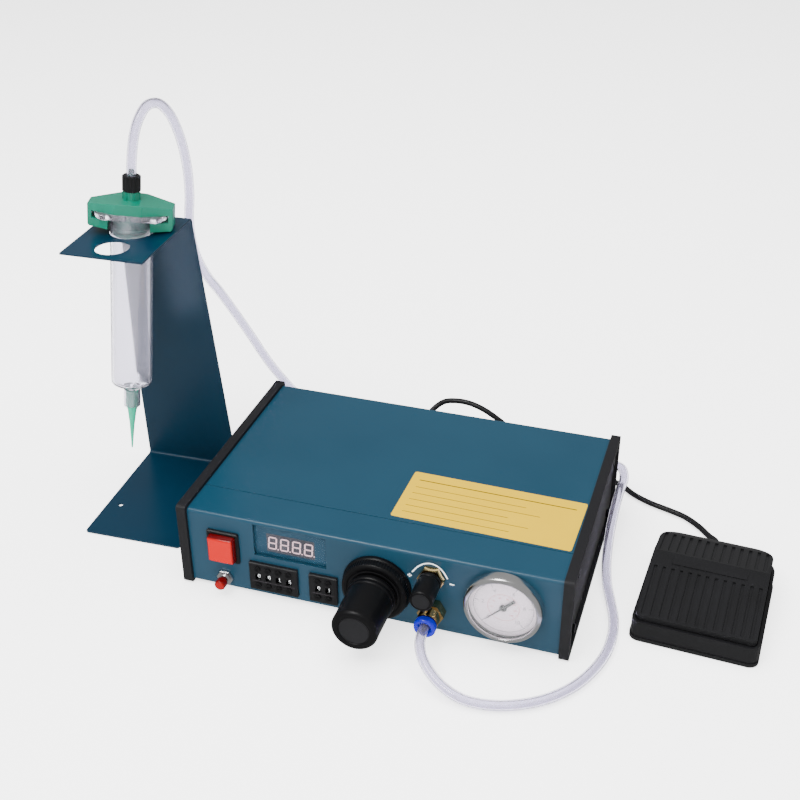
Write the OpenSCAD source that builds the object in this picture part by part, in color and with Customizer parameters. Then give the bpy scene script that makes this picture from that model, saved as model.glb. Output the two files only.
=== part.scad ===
// Bench-top glue dispenser: an air controller, a stand with a syringe, and a foot switch.
// The frame stands on the bench: +X to the right, +Y to the back, +Z up, in millimetres.

/* [Layout of the set] */
// Controller's centre line, from the middle of the set
controller_x = -9.9; // [-20:0.1:0]
// Front edge of the controller's side frames, from the middle of the set
controller_y = -64.7; // [-70:0.1:-55]
// Space between the stand's base and the controller
stand_gap = 20.6; // [10:0.1:40]
// Bottom bend of the stand, behind the controller's front
stand_back = 125.3; // [100:0.1:140]
// Turn of the stand on the bench
stand_yaw = 2; // [-5:0.1:8]
// Space between the foot switch and the controller
pedal_gap = 28.5; // [20:0.5:60]
// Front of the foot switch, behind the controller's front
pedal_back = 28; // [10:1:50]
// Turn of the foot switch on the bench
pedal_yaw = -3.2; // [-8:0.1:8]

/* [Controller case] */
// Width over the two side frames
body_w = 240; // [236:1:280]
// Depth of the side frames
body_d = 157; // [152:1:200]
// Height of the side frames, which are also the feet
body_h = 57; // [56.5:0.5:70]
// Thickness of a side frame
frame_t = 6; // [5:0.1:7]
// Width of the rim round the sunk web of a side frame
frame_rim = 4; // [3:0.1:6]
// Depth of the web below the rim
web_sink = 2.2; // [1.5:0.1:3]
// How far the panels and the cover stand inside the edges of the frames
inset = 2.2; // [1.8:0.1:3]
// Sheet thickness of the cover and the chassis
sheet_t = 1.2; // [0.8:0.1:1.6]
// Thickness of the front panel
panel_t = 1.6; // [1.2:0.1:2.2]
// Depth of the front panel's top flange
lip = 26.1; // [20:0.1:32]
// Seam between the front panel and the cover
seam = 0.4; // [0.2:0.1:0.8]
// Height of the side flanges that the screws hold
flange_h = 12; // [10:0.5:14]
// Thread of a case screw
screw_d = 3; // [2.5:0.1:4]
// Head of a case screw
head_d = 5.6; // [5:0.1:7]
// Distance of the case screws from the ends of a frame
screw_in = 20; // [15:1:30]

/* [Power button] */
// Place of the button across the front, as a share of the inner width
power_at = -0.4009; // [-0.41:0.0001:-0.39]
// Height of the button's centre
power_z = 32.3; // [28:0.1:38]
// Width of the bezel
power_w = 20.4; // [18:0.1:21]
// Height of the bezel
power_h = 22; // [20:0.1:24]
// How far the bezel stands off the panel
power_bezel_t = 2; // [1.5:0.1:3]
// How far the cap stands off the bezel
power_cap_out = 4.4; // [3.5:0.1:6]
// Travel of the cap
power_travel = 3; // [2:0.1:3.2]

/* [Shot button] */
// Place of the button across the front, as a share of the inner width
shot_at = -0.4035; // [-0.43:0.0001:-0.38]
// Height of the button's centre
shot_z = 8.7; // [8.4:0.1:9.5]
// Width across flats of its nut
shot_nut = 9.4; // [8.5:0.1:9.8]
// Diameter of the red cap
shot_cap_d = 6.8; // [6:0.1:7.5]
// Length of the red cap
shot_cap_l = 5.2; // [3.5:0.1:6]
// Travel of the red cap
shot_travel = 1.6; // [1:0.1:2]

/* [Display] */
// Width of the window
window_w = 45.4; // [40:0.1:48]
// Height of the window
window_h = 22; // [18:0.1:22.4]
// Place of the window across the front, as a share of the inner width
window_at = -0.2145; // [-0.222:0.0001:-0.208]
// Height of the window's centre
window_z = 41.2; // [40.8:0.1:41.4]
// Thickness of the window
window_t = 2.4; // [2:0.1:3]
// Width of the four digits together
digits_w = 30; // [26:0.5:32]
// Height of the digit block
digits_h = 14; // [12:0.5:15]

/* [Thumb wheel switches] */
// Width of one decade
decade_w = 6.6; // [6:0.1:7]
// Height of a switch face
face_h = 20; // [19:0.1:21]
// How far a face stands off the panel
face_t = 2.2; // [1.8:0.1:3]
// Width of an end cheek
cheek = 2.3; // [2:0.1:3]
// Depth of a switch behind the panel
switch_l = 18; // [17:0.5:24]
// Height of the digit windows
digit_z = 15.4; // [15:0.1:15.6]
// Place of the time switch across the front, as a share of the inner width
timer_at = -0.2614; // [-0.27:0.0001:-0.255]
// Decades of the time switch
timer_decades = 4; // [2:1:4]
// Place of the mode switch across the front, as a share of the inner width
mode_at = -0.1224; // [-0.128:0.0001:-0.12]
// Decades of the mode switch
mode_decades = 2; // [1:1:2]
// Diameter of a number wheel
wheel_d = 9.6; // [8:0.1:9.8]
// Diameter of a plus or minus button
key_d = 3.8; // [3:0.1:4]
// Height of the plus and minus buttons above and below the digit
key_off = 5.9; // [5.8:0.1:6]
// Travel of a plus or minus button
key_travel = 1.2; // [0.8:0.1:1.4]

/* [Pressure regulator] */
// Place of the regulator across the front, as a share of the inner width
reg_at = 0.0246; // [0.022:0.0001:0.03]
// Height of the regulator's centre
reg_z = 26.1; // [25:0.1:30]
// Diameter of the collar
collar_d = 42; // [38:0.5:43]
// Length of the collar
collar_l = 8; // [6:0.5:10]
// Diameter of the knob
reg_knob_d = 27.6; // [24:0.1:30]
// Length of the knob
reg_knob_l = 34; // [28:0.5:40]
// Diameter of the neck through the panel
reg_neck_d = 32; // [28:0.5:34]
// Diameter of the spindle
reg_spindle_d = 8; // [6:0.1:9]

/* [Vacuum valve] */
// Place of the valve across the front, as a share of the inner width
vac_at = 0.1689; // [0.167:0.0001:0.18]
// Height of the valve's centre
vac_z = 40.3; // [38:0.1:44]
// Width across flats of the brass nut
vac_nut = 14; // [12:0.1:14.5]
// Diameter of the knob
vac_knob_d = 13.7; // [11:0.1:14]
// Length of the knob
vac_knob_l = 19; // [15:0.5:24]
// Diameter of the valve's spindle
vac_spindle_d = 5; // [4:0.1:6]

/* [Air outlet] */
// Place of the outlet across the front, as a share of the inner width
out_at = 0.1728; // [0.165:0.0001:0.18]
// Height of the outlet's centre
out_z = 17.1; // [14:0.1:20]
// Width across flats of the brass hexagon
out_hex = 14; // [12:0.1:15]
// Outer diameter of the air hose
hose_d = 6; // [5:0.1:6]
// Diameter of the release ring
ring_d = 13; // [12:0.1:13.6]
// Travel of the release ring
ring_travel = 1; // [0.5:0.1:1]

/* [Pressure gauge] */
// Place of the gauge across the front, as a share of the inner width
gauge_at = 0.3561; // [0.345:0.0001:0.365]
// Height of the gauge's centre
gauge_z = 30.8; // [30:0.1:31.5]
// Diameter of the chrome bezel
bezel_d = 46.4; // [42:0.1:46.8]
// Depth of the bezel in front of the panel
bezel_l = 7.2; // [6:0.1:9]
// Width of the bezel's front rim
bezel_rim = 3.6; // [3:0.1:5]
// Depth of the case behind the panel
case_l = 22; // [18:0.5:30]
// Thickness of the lens
lens_t = 1.4; // [1:0.1:2]

/* [Stand] */
// Width of the base
base_w = 66.2; // [60:0.1:80]
// Base in front of the bottom bend
base_l = 98.5; // [90:0.5:120]
// Height of the top plate
stand_h = 194.6; // [180:0.1:220]
// Width of the top plate
plate_w = 52.2; // [50:0.1:60]
// Top plate in front of the top bend
plate_l = 68.8; // [68:0.1:80]
// How far the upright leans forward from bottom to top
stand_lean = 20.7; // [10:0.1:22]
// Sheet thickness of the stand
stand_t = 1.2; // [1:0.1:1.6]
// Bend radius inside
bend_r = 2; // [1:0.1:3]
// Diameter of the hole that the syringe hangs in
hole_d = 27.9; // [27.4:0.1:29]
// Distance of that hole's centre in front of the top bend
hole_in = 27; // [25:0.1:28]
// Diameter of the spare hole for a smaller barrel
spare_d = 20.4; // [18:0.1:21]
// Distance of the spare hole's centre in front of the top bend
spare_in = 54; // [53.5:0.1:56]
// Diameter of the base's screw holes
foot_hole_d = 3.2; // [2.5:0.1:4.5]
// Distance between the base's screw holes
foot_hole_span = 48; // [40:0.5:52]
// Distance of the base's screw holes in front of the bottom bend
foot_hole_in = 66; // [50:0.5:80]

/* [Syringe] */
// How far the syringe leans forward in its hole, in degrees
lean_front = 6; // [0:0.5:6]
// How far the syringe leans to the left in its hole, in degrees
lean_left = 4; // [0:0.5:4]
// Turn of the syringe in its hole
syringe_turn = 17; // [0:0.5:20]
// How far the syringe lies to the left in its hole
syringe_shift = 0.8; // [0:0.1:0.9]
// Outer diameter of the barrel
barrel_d = 25.4; // [24.5:0.1:25.6]
// Wall of the barrel
barrel_wall = 1.3; // [1:0.1:1.6]
// Length of the barrel from the flange to the shoulder
barrel_l = 113; // [100:0.5:120]
// Span of the flange's ears
ear_span = 43; // [41:0.1:44]
// Width of the flange
ear_w = 28; // [27:0.1:29]
// Thickness of the flange
ear_t = 3.2; // [2.5:0.1:3.6]
// Length of the cone below the barrel
shoulder_l = 4; // [3:0.1:6]
// Diameter of the luer collar
luer_d = 10.4; // [10:0.1:12]
// Length of the luer collar
luer_l = 13; // [12:0.1:15]
// Length of the dispensing tip below the collar
tip_l = 31; // [20:0.5:32]

/* [Barrel adapter] */
// Length of the adapter
wing_l = 50; // [49.6:0.1:52]
// Depth of the adapter at its ends
wing_end = 12; // [10:0.1:14]
// Depth of the adapter in the middle
wing_mid = 26; // [24:0.1:28]
// Opening between the lower lips
mouth = 24.8; // [20:0.1:26]
// Thickness of the lower lips
lip_t = 5.2; // [4:0.1:6]
// Height of the slots that take the flange's ears
slot_h = 4.4; // [4:0.1:5]
// Thickness of the adapter's top at its ends
band_t = 4; // [3:0.1:5]
// Rise of the top from the ends to the middle
gable = 2.6; // [1.5:0.1:4]
// Diameter of the stem
stem_d = 9.4; // [9:0.1:10.5]
// Height of the stem above the band
stem_h = 7.6; // [6:0.1:9]
// Diameter of the hose nut
nut_d = 11; // [10.2:0.1:12]
// Length of the hose nut
nut_l = 9.7; // [8:0.1:12]

/* [Foot switch] */
// Width of the foot switch
pedal_w = 74; // [70:0.5:80]
// Depth of the foot switch
pedal_d = 88; // [84:0.5:100]
// Height of the base's rim
pedal_rim = 13.4; // [12:0.1:13.6]
// Height of the treadle's front edge
tread_front = 17; // [16.8:0.1:18]
// Height of the treadle's ridge
tread_ridge = 27; // [25:0.1:29]
// Height of the treadle's back edge
tread_back = 20; // [19:0.1:21]
// Distance of the ridge behind the front
ridge_in = 54; // [50:0.5:56]
// Corner radius at the back
pedal_round = 15; // [12:0.5:18]
// Wall thickness of the mouldings
pedal_wall = 1.8; // [1.6:0.1:2.2]
// Travel of the treadle, in degrees
pedal_travel = 2.5; // [1:0.1:2.5]
// Number of tread grooves
grooves = 13; // [9:1:13]
// Distance between two grooves
groove_pitch = 5.1; // [4:0.1:5.1]
// Width of a tread groove
groove_w = 1.9; // [1.2:0.1:2.4]
// Diameter of the pedal's cable
cable_d = 3.8; // [3:0.1:4]

/* [Rear connections] */
// Place of the mains inlet across the back, as a share of the inner width
mains_at = 0.3421; // [0.32:0.0001:0.36]
// Width of the mains inlet's flange
mains_w = 32; // [31:0.5:36]
// Height of the mains inlet's flange
mains_h = 24; // [23:0.5:28]
// Place of the air inlet across the back, as a share of the inner width
inlet_at = -0.307; // [-0.36:0.0001:-0.25]
// Bore of the air inlet, for the supply hose
inlet_bore = 8.1; // [6:0.1:8.2]
// Place of the foot switch's socket across the back, as a share of the inner width
socket_at = -0.0789; // [-0.12:0.0001:-0.05]
// Height of the connections on the back
rear_z = 29; // [26:0.5:34]
// Diameter of the plug's coupling ring
plug_d = 15; // [14:0.1:16]

/* [Hidden] */

// Clearances: a part in its cut-out, a sliding part in its guide, and a shaft in its bore
fit = 0.1;
slide_fit = 0.3;
run_fit = 0.05;
eps = 0.01;
$fn = 48;

// Planes of the controller
inner_w = body_w - 2 * frame_t;
z_bot = inset;
z_top = body_h - inset;
panel_y = inset;
panel_in = inset + panel_t;
rear_out = body_d - inset - sheet_t;
rear_in = rear_out - sheet_t;
cover_front = inset + lip + seam;
tongue = 5;
tongue_in = 8;
tongue_z = z_top - sheet_t - slide_fit;
floor_z = z_bot + sheet_t;
head_h = 1.8;
screw_len = 7;
screw_heights = [z_bot + flange_h / 2, z_top - flange_h / 2];
screw_places = [screw_in, body_d - screw_in];
cover_bend = 1.8;
panel_bend = 2.2;

// Centres across the front and the back
power_x = inner_w * power_at;
shot_x = inner_w * shot_at;
window_x = inner_w * window_at;
timer_x = inner_w * timer_at;
mode_x = inner_w * mode_at;
reg_x = inner_w * reg_at;
vac_x = inner_w * vac_at;
out_x = inner_w * out_at;
gauge_x = inner_w * gauge_at;
mains_x = inner_w * mains_at;
inlet_x = inner_w * inlet_at;
socket_x = inner_w * socket_at;

// Power button
power_front = panel_y - power_bezel_t;
power_cap_w = power_w - 4;
power_cap_h = power_h - 4.4;
power_body_l = 22;

// Shot button
shot_bush_d = 6;
shot_stem_d = 3.4;
shot_nut_t = 2;
shot_bush_front = panel_y - shot_nut_t - 1.2;

// Thumb wheel switches
face_y = panel_y - face_t;
wheel_y = face_y + 1.8 + wheel_d / 2;
key_out = 0.7;
key_back = 1.9;
timer_w = timer_decades * decade_w + 2 * cheek;
mode_w = mode_decades * decade_w + 2 * cheek;
decade_places = concat([for (i = [0:timer_decades - 1]) timer_x + (i - (timer_decades - 1) / 2) * decade_w],
    [for (i = [0:mode_decades - 1]) mode_x + (i - (mode_decades - 1) / 2) * decade_w]);
board_y = panel_in + switch_l;
board_t = 1.6;
board_gap = 0.6;

// Regulator, vacuum valve and outlet
collar_front = panel_y - collar_l;
reg_knob_back = collar_front - slide_fit;
reg_spindle_front = reg_knob_back - reg_knob_l * 0.6;
reg_body_d = 38;
reg_body_l = 40;
reg_port_w = 44;
reg_port_l = 20;
reg_port_h = 17;
reg_port_in = 12;
vac_nut_t = 4;
vac_knob_back = panel_y - vac_nut_t - slide_fit;
out_hex_t = 6.6;
out_body_d = 12.6;
out_body_front = panel_y - out_hex_t - 7;
ring_t = 4.2;
ring_dish = 1.4;
ring_front = out_body_front - ring_travel - 0.1 - ring_t;
hose_stop = out_body_front + 6.6;

// Gauge
bezel_front = panel_y - bezel_l;
bezel_back_t = 1.6;
case_d = bezel_d - 4.4;
dial_d = bezel_d - 2 * bezel_rim;
dial_y = bezel_front + 4.6;
pointer_y = dial_y - 1.2;
lens_y = bezel_front + 1.2;

// Stand
stand_x = controller_x - body_w / 2 - stand_gap - base_w / 2;
stand_y = controller_y + stand_back;
plate_z = stand_h + stand_t / 2;
lean_a = atan(stand_lean / plate_z);
bend_out = bend_r + stand_t;
foot_centre = [-bend_out * tan(45 + lean_a / 2), bend_out];
top_centre = [-stand_lean - bend_out * tan(45 - lean_a / 2), plate_z - bend_out];

// Syringe, measured along its own axis from the top of the stand's plate
hook_half = wing_l / 2;
hook_bevel = 1;
hook_foot = hook_half - hook_bevel;
hook_corner = [hook_foot * cos(syringe_turn) - wing_end / 2 * sin(syringe_turn),
    hook_foot * sin(syringe_turn) + wing_end / 2 * cos(syringe_turn)];
// One corner of the hooks rests on the plate
hook_z = (sin(lean_left) * hook_corner[0] + cos(lean_left) * sin(lean_front) * hook_corner[1])
    / (cos(lean_left) * cos(lean_front));
band_z = hook_z + lip_t + slot_h;
wing_top = band_z + band_t;
flange_top = band_z;
barrel_r = barrel_d / 2;
bore_r = barrel_r - barrel_wall;
shoulder_z = flange_top - barrel_l;
collar_z = shoulder_z - shoulder_l;
luer_end = collar_z - luer_l;
spigot_r = 2;
hub_r = luer_d / 2 - 1.3;
tip_top = collar_z - 1.6;
tip_end = luer_end - tip_l;
plug_r = bore_r - slide_fit;
seal_r = 1.3;
seal_ring = bore_r - fit - seal_r;
seal_z = band_z - 10.8;
plug_end = band_z - 14.8;
stem_top = wing_top + stem_h;
barb_top = stem_top + 2.4;
nut_top = stem_top + nut_l;
wing_flat = 16;
ridge_w = 12;
slot_end = 2.6;
barrel_room = 0.7;
stem_bore = 2.4;
stem_rib = 1.2;

// Foot switch
pivot_y = pedal_d - 11;
pivot_z = 9;
pin_d = 4;
ear_half = 2.5;
post_gap = 0.5;
post_t = 3;
post_half = 3.2;
base_set = 0.6;
tread_set = base_set + pedal_wall + 0.4;
skirt_z = pedal_rim - 4;
hinge_x = pedal_w / 2 - 15;
spring_y = 16;
floor_t = 2.2;
relief_l = 10;
cable_z = 6;
tread_run = ridge_in - tread_set;
tread_slope = atan((tread_ridge - tread_front) / tread_run);
strip_end = pedal_d - 8;
strip_slope = atan((tread_ridge - tread_back - 2) / (strip_end - ridge_in));

// Inside the case
core_side = 34;
core_back = 62;
core_w = 40;
core_d = 34;
core_h = 36;
lug = 4;
coil_t = 5;
coil_w = 24;
coil_h = 22;
valve_back = 48;
manifold_w = 52;
manifold_d = 24;
manifold_h = 20;
pilot = 20;
pilot_h = 24;
pilot_in = 6;
port_in = 14;
port_l = 8;

// Rear connections
mains_t = 3;
plug_l = 13;
plug_front = rear_out + 3;
plug_end_y = plug_front + plug_l;
boot_l = 15;
boot_end = plug_end_y + boot_l;

// Route of the air hose, measured from the controller's front centre; its ends follow the fittings
hose_start = [out_x, hose_stop, out_z];
hose_lead = [out_x, hose_stop - 16, out_z];
hose_points = [[40.5, -28, 16], [44, -35, 13.5], [50.5, -41.5, 10], [60, -47, 6.5], [72, -50, 4],
    [87, -48.8, 3.2], [102, -43.5, 3.2], [115.5, -34.5, 3.2], [126.5, -22, 3.2], [134, -8, 3.2],
    [139, 8, 3.2], [140.5, 24, 3.2], [139, 40, 3.2], [134.5, 56, 3.2], [129.5, 72, 4.2], [126.2, 88, 8.5],
    [124.8, 103, 15], [124.4, 119, 21.5], [124.7, 136, 26.3], [125.2, 152, 27.5], [120.8, 166.5, 25.8],
    [108.2, 175.6, 20.5], [91, 178.4, 13.5], [74, 179, 7.5], [57, 179, 4], [38, 179, 3.2], [18, 179, 3.2],
    [-2, 178.8, 3.2], [-22, 178.5, 3.2], [-42, 178.2, 3.4], [-59, 178, 4.6], [-75, 177, 8.2], [-89, 175, 16],
    [-101.5, 172.5, 27.5], [-111, 168.5, 40.5], [-118, 163, 54], [-123, 156.5, 67.5], [-127, 150, 81.5],
    [-131, 144, 96], [-135.5, 138.5, 110], [-139.8, 134, 122], [-144.6, 129.8, 134], [-150.4, 126, 145.5],
    [-154.4, 123, 158], [-156.6, 121, 172], [-156.4, 120, 187], [-154.6, 120, 203], [-154, 119.5, 219],
    [-154.7, 118, 234], [-156.2, 115, 247.5], [-158.3, 110.5, 258.5], [-161, 104, 265.5],
    [-164.2, 97, 266], [-167, 90, 259.5], [-168.8, 85.5, 250]];

// Route of the foot switch's cable, measured in the same way
cable_points = [[-17.6, 189.5, 30], [-14.5, 193.5, 33], [-9, 195.5, 36.8], [0, 196, 38.6], [9, 195.5, 38.6],
    [18, 194.5, 36.6], [27, 193.5, 32.6], [36, 192.5, 27], [45, 191.5, 19.5], [55, 190.5, 11],
    [66, 189.5, 5], [79, 187.5, 2.4], [94, 186.5, 2.2], [109, 185, 2.2], [121, 180.5, 2.2],
    [131, 172, 2.2], [143, 165.5, 2.2], [156, 161, 2.2], [167, 156.5, 2.2], [177, 148.5, 2.2],
    [184, 139.5, 3], [188.8, 132.5, 5]];

// Points of an arc
function arc(cx, cy, r, a0, a1, n = 8) =
    [for (i = [0:n]) let (a = a0 + (a1 - a0) * i / n) [cx + r * cos(a), cy + r * sin(a)]];

// Side view (Y, Z) of the stand's two bends, from the base up to the plate
function bends(r) = concat(arc(foot_centre[0], foot_centre[1], r, -90, lean_a),
    arc(top_centre[0], top_centre[1], r, lean_a, 90));
function turn_back(p) = [for (i = [len(p) - 1:-1:0]) p[i]];

// Outline in 2D: a rectangle about the origin with round corners
module round_rect(w, h, r) {
    polygon(concat(arc(w / 2 - r, h / 2 - r, r, 0, 90, 5), arc(-w / 2 + r, h / 2 - r, r, 90, 180, 5),
        arc(-w / 2 + r, -h / 2 + r, r, 180, 270, 5), arc(w / 2 - r, -h / 2 + r, r, 270, 360, 5)));
}

// A side view (Y, Z) drawn out along X
module along_x(w) {
    rotate([90, 0, 90]) linear_extrude(w, center = true) children();
}

// A front view (X, Z) drawn out to the back, starting at y = 0
module along_y(l) {
    translate([0, l, 0]) rotate([90, 0, 0]) linear_extrude(l) children();
}

// A turned part about the Y axis: its outline is given as (radius, distance to the back)
module turned_y() {
    rotate([-90, 0, 0]) rotate_extrude() children();
}

// A rod along Y from y0 to y1
module rod_y(d, y0, y1) {
    translate([0, y0, 0]) rotate([-90, 0, 0]) cylinder(d = d, h = y1 - y0);
}

// A hexagon bar along Y from y0 to y1
module hex_y(flats, y0, y1) {
    translate([0, y0, 0]) rotate([-90, 0, 0]) cylinder(d = flats / cos(30), h = y1 - y0, $fn = 6);
}

// A block from y = 0 to the back, with round upright edges and a bevelled front
module bevel_block(w, h, l, r, c) {
    intersection() {
        along_y(l) round_rect(w, h, r);
        along_x(w + 2) polygon([[0, -h / 2 + c], [c, -h / 2], [l, -h / 2], [l, h / 2], [c, h / 2], [0, h / 2 - c]]);
        linear_extrude(h + 2, center = true)
            polygon([[-w / 2 + c, 0], [-w / 2, c], [-w / 2, l], [w / 2, l], [w / 2, c], [w / 2 - c, 0]]);
    }
}

module in_controller() {
    translate([controller_x, controller_y, 0]) children();
}

module in_stand() {
    translate([stand_x, stand_y, 0]) rotate(stand_yaw) children();
}

module in_syringe() {
    in_stand() translate([-syringe_shift, -stand_lean - hole_in, plate_z])
        rotate([-lean_front, lean_left, 0]) rotate(syringe_turn) children();
}

module in_pedal() {
    translate([controller_x + body_w / 2 + pedal_gap + pedal_w / 2, controller_y + pedal_back, 0])
        rotate(pedal_yaw) children();
}

// Sweeping a round tube along points
function unit(v) = v / norm(v);
function tangent(p, i) = unit(p[min(i + 1, len(p) - 1)] - p[max(i - 1, 0)]);
function carry(u, t) = unit(u - (u * t) * t);
function frames(p, u, i = 0) = i == len(p) ? [] :
    let (t = tangent(p, i), v = carry(u, t)) concat([[v, cross(t, v)]], frames(p, v, i + 1));

module tube(p, d, start_up, sides) {
    rings = frames(p, start_up);
    n = len(p);
    points = [for (i = [0:n - 1], k = [0:sides - 1])
        p[i] + d / 2 * (cos(360 * k / sides) * rings[i][0] + sin(360 * k / sides) * rings[i][1])];
    walls = [for (i = [0:n - 2], k = [0:sides - 1])
        [(i + 1) * sides + k, (i + 1) * sides + (k + 1) % sides, i * sides + (k + 1) % sides, i * sides + k]];
    ends = [[for (k = [0:sides - 1]) k], [for (k = [sides - 1:-1:0]) (n - 1) * sides + k]];
    polyhedron(points, concat(walls, ends));
}

// Controller case

module screw_holes(d, side) {
    for (y = screw_places, z = screw_heights)
        translate([side * body_w / 2, y, z]) rotate([0, 90, 0]) cylinder(d = d, h = 30, center = true);
}

module side_frame(side) {
    color("#232226") in_controller() difference() {
        translate([side * (body_w - frame_t) / 2, 0, 0]) along_x(frame_t)
            translate([body_d / 2, body_h / 2]) round_rect(body_d, body_h, 2);
        translate([side * (body_w / 2 - web_sink / 2), 0, 0]) along_x(web_sink + eps)
            translate([body_d / 2, body_h / 2])
                round_rect(body_d - 2 * frame_rim, body_h - 2 * frame_rim, 3);
        screw_holes(screw_d + 2 * fit, side);
    }
}

module side_frame_left() side_frame(-1);
module side_frame_right() side_frame(1);

module side_screws() {
    color("#4a4a4e") in_controller() for (side = [-1, 1], y = screw_places, z = screw_heights)
        translate([side * (body_w / 2 - web_sink), y, z]) rotate([0, side * 90, 0]) {
            translate([0, 0, -screw_len]) cylinder(d = screw_d, h = screw_len);
            difference() {
                cylinder(d = head_d, h = head_h);
                for (a = [0, 90]) rotate(a) translate([0, 0, head_h])
                    cube([head_d * 0.6, 0.8, 1.6], center = true);
            }
        }
}

// Side flanges of the cover or the chassis, drilled for the case screws
module side_flanges(z0, y0, y1) {
    for (side = [-1, 1]) translate([side * (inner_w - sheet_t) / 2 - sheet_t / 2, y0, z0])
        cube([sheet_t, y1 - y0, flange_h]);
}

module top_cover() {
    r = cover_bend;
    color("#2b5b73") in_controller() difference() {
        union() {
            along_x(inner_w) polygon(concat(
                [[cover_front, z_top - sheet_t], [cover_front, z_top]],
                arc(body_d - inset - r, z_top - r, r, 90, 0),
                [[body_d - inset, z_top - 8], [body_d - inset - sheet_t, z_top - 8]],
                arc(body_d - inset - r, z_top - r, r - sheet_t, 0, 90)));
            side_flanges(z_top - flange_h, cover_front + 2, rear_in - 1);
            // A joggled tongue that holds the front edge down under the panel's lip
            along_x(inner_w - 2 * tongue_in) polygon([[cover_front + tongue, z_top - sheet_t + eps],
                [cover_front, z_top - sheet_t + eps], [cover_front, tongue_z],
                [cover_front - seam - tongue, tongue_z], [cover_front - seam - tongue, tongue_z - sheet_t],
                [cover_front + tongue - sheet_t, tongue_z - sheet_t]]);
        }
        for (side = [-1, 1]) screw_holes(screw_d + 2 * fit, side);
    }
}

module chassis() {
    r = cover_bend;
    color("#2b5b73") in_controller() difference() {
        union() {
            along_x(inner_w) polygon(concat(
                [[panel_in, z_bot]], arc(rear_out - r, z_bot + r, r, 270, 360),
                [[rear_out, z_top - cover_bend], [rear_in, z_top - cover_bend]],
                arc(rear_out - r, z_bot + r, r - sheet_t, 360, 270), [[panel_in, floor_z]]));
            side_flanges(z_bot, panel_in + 2, rear_in);
        }
        for (side = [-1, 1]) screw_holes(screw_d + 2 * fit, side);
        translate([mains_x, rear_in - 1, rear_z]) along_y(4) round_rect(mains_w - 4, mains_h - 4, 1);
        translate([inlet_x, 0, rear_z]) rod_y(12 + 2 * fit, rear_in - 1, rear_out + 1);
        translate([socket_x, 0, rear_z]) rod_y(plug_d - 3 + 2 * fit, rear_in - 1, rear_out + 1);
        for (i = [0:5])
            translate([mains_x - 60 + i * 5, rear_in - 1, rear_z]) along_y(4) round_rect(2, 20, 0.9);
    }
}

module front_panel() {
    r = panel_bend;
    color("#1f4f69") in_controller() difference() {
        union() {
            along_x(inner_w) polygon(concat(
                [[panel_in, z_bot], [panel_y, z_bot]], arc(panel_y + r, z_top - r, r, 180, 90),
                [[panel_y + lip, z_top], [panel_y + lip, z_top - sheet_t], [panel_y + r, z_top - sheet_t]],
                arc(panel_y + r, z_top - r, r - panel_t, 90, 180)));
            side_flanges(z_top - flange_h, panel_in + 2, panel_y + lip - 2);
        }
        for (side = [-1, 1]) screw_holes(screw_d + 2 * fit, side);
        translate([power_x, panel_y - 1, power_z]) along_y(4)
            square([power_w - 2 + 2 * fit, power_h - 2 + 2 * fit], center = true);
        translate([shot_x, 0, shot_z]) rod_y(shot_bush_d + 2 * fit, 0, 6);
        translate([window_x, panel_y - 1, window_z]) along_y(4)
            square([window_w + 2 * fit, window_h + 2 * fit], center = true);
        for (b = [[timer_x, timer_w], [mode_x, mode_w]]) translate([b[0], panel_y - 1, digit_z]) along_y(4)
            square([b[1] - 2 + 2 * fit, face_h - 2 + 2 * fit], center = true);
        translate([reg_x, 0, reg_z]) rod_y(reg_neck_d + 2 * fit, 0, 6);
        translate([vac_x, 0, vac_z]) rod_y(9.8 + 2 * fit, 0, 6);
        translate([out_x, 0, out_z]) rod_y(9.8 + 2 * fit, 0, 6);
        translate([gauge_x, 0, gauge_z]) rod_y(case_d + 2 * fit, 0, 6);
    }
}

// Power button

module power_button_housing() {
    color("#1b1b1e") in_controller() translate([power_x, 0, power_z]) difference() {
        union() {
            translate([0, power_front, 0]) bevel_block(power_w, power_h, power_bezel_t, 1.2, 0.6);
            translate([0, panel_y - eps, 0]) along_y(power_body_l) round_rect(power_w - 2, power_h - 2, 0.8);
            for (x = [-5, 0, 5]) translate([x - 0.4, panel_y + power_body_l - 1, -2]) cube([0.8, 7, 4.8]);
        }
        translate([0, power_front - 1, 0]) along_y(power_bezel_t + 13)
            round_rect(power_cap_w + 2 * slide_fit, power_cap_h + 2 * slide_fit, 0.8);
    }
}

module power_button_cap() {
    color("#e8423f") in_controller() translate([power_x, power_front - power_cap_out, power_z])
        bevel_block(power_cap_w, power_cap_h, power_cap_out + power_bezel_t + 8, 0.9, 1.6);
}

// Shot button

module shot_button_bush() {
    color("#c9cbcd") in_controller() translate([shot_x, 0, shot_z]) difference() {
        union() {
            rod_y(shot_bush_d, shot_bush_front, panel_in + 1);
            hex_y(shot_nut, panel_y - shot_nut_t, panel_y);
            rod_y(shot_nut, panel_in, panel_in + 1.4);
            rod_y(shot_nut - 1, panel_in + 1, panel_in + 14);
        }
        rod_y(shot_stem_d + 2 * slide_fit, shot_bush_front - 1, panel_in + 12);
    }
}

module shot_button_cap() {
    back = shot_bush_front - shot_travel - 0.2;
    r = shot_cap_d / 2;
    color("#b8302f") in_controller() translate([shot_x, back, shot_z]) {
        turned_y() polygon(concat([[0, 0], [r, 0], [r, 1 - shot_cap_l]],
            arc(r - 1, 1 - shot_cap_l, 1, 0, -90, 5), [[0, -shot_cap_l]]));
        rod_y(shot_stem_d, -eps, shot_travel + 9);
    }
}

// Display and control board

module display_window() {
    color("#2a3d4a") in_controller() translate([window_x, 0, window_z]) {
        translate([0, panel_y - 0.2, 0]) along_y(panel_t + 0.2 + eps)
            square([window_w, window_h], center = true);
        translate([0, panel_in, 0]) along_y(window_t - panel_t)
            square([window_w + 3, 2 * (z_top - panel_bend - slide_fit - window_z)], center = true);
    }
}

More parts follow.
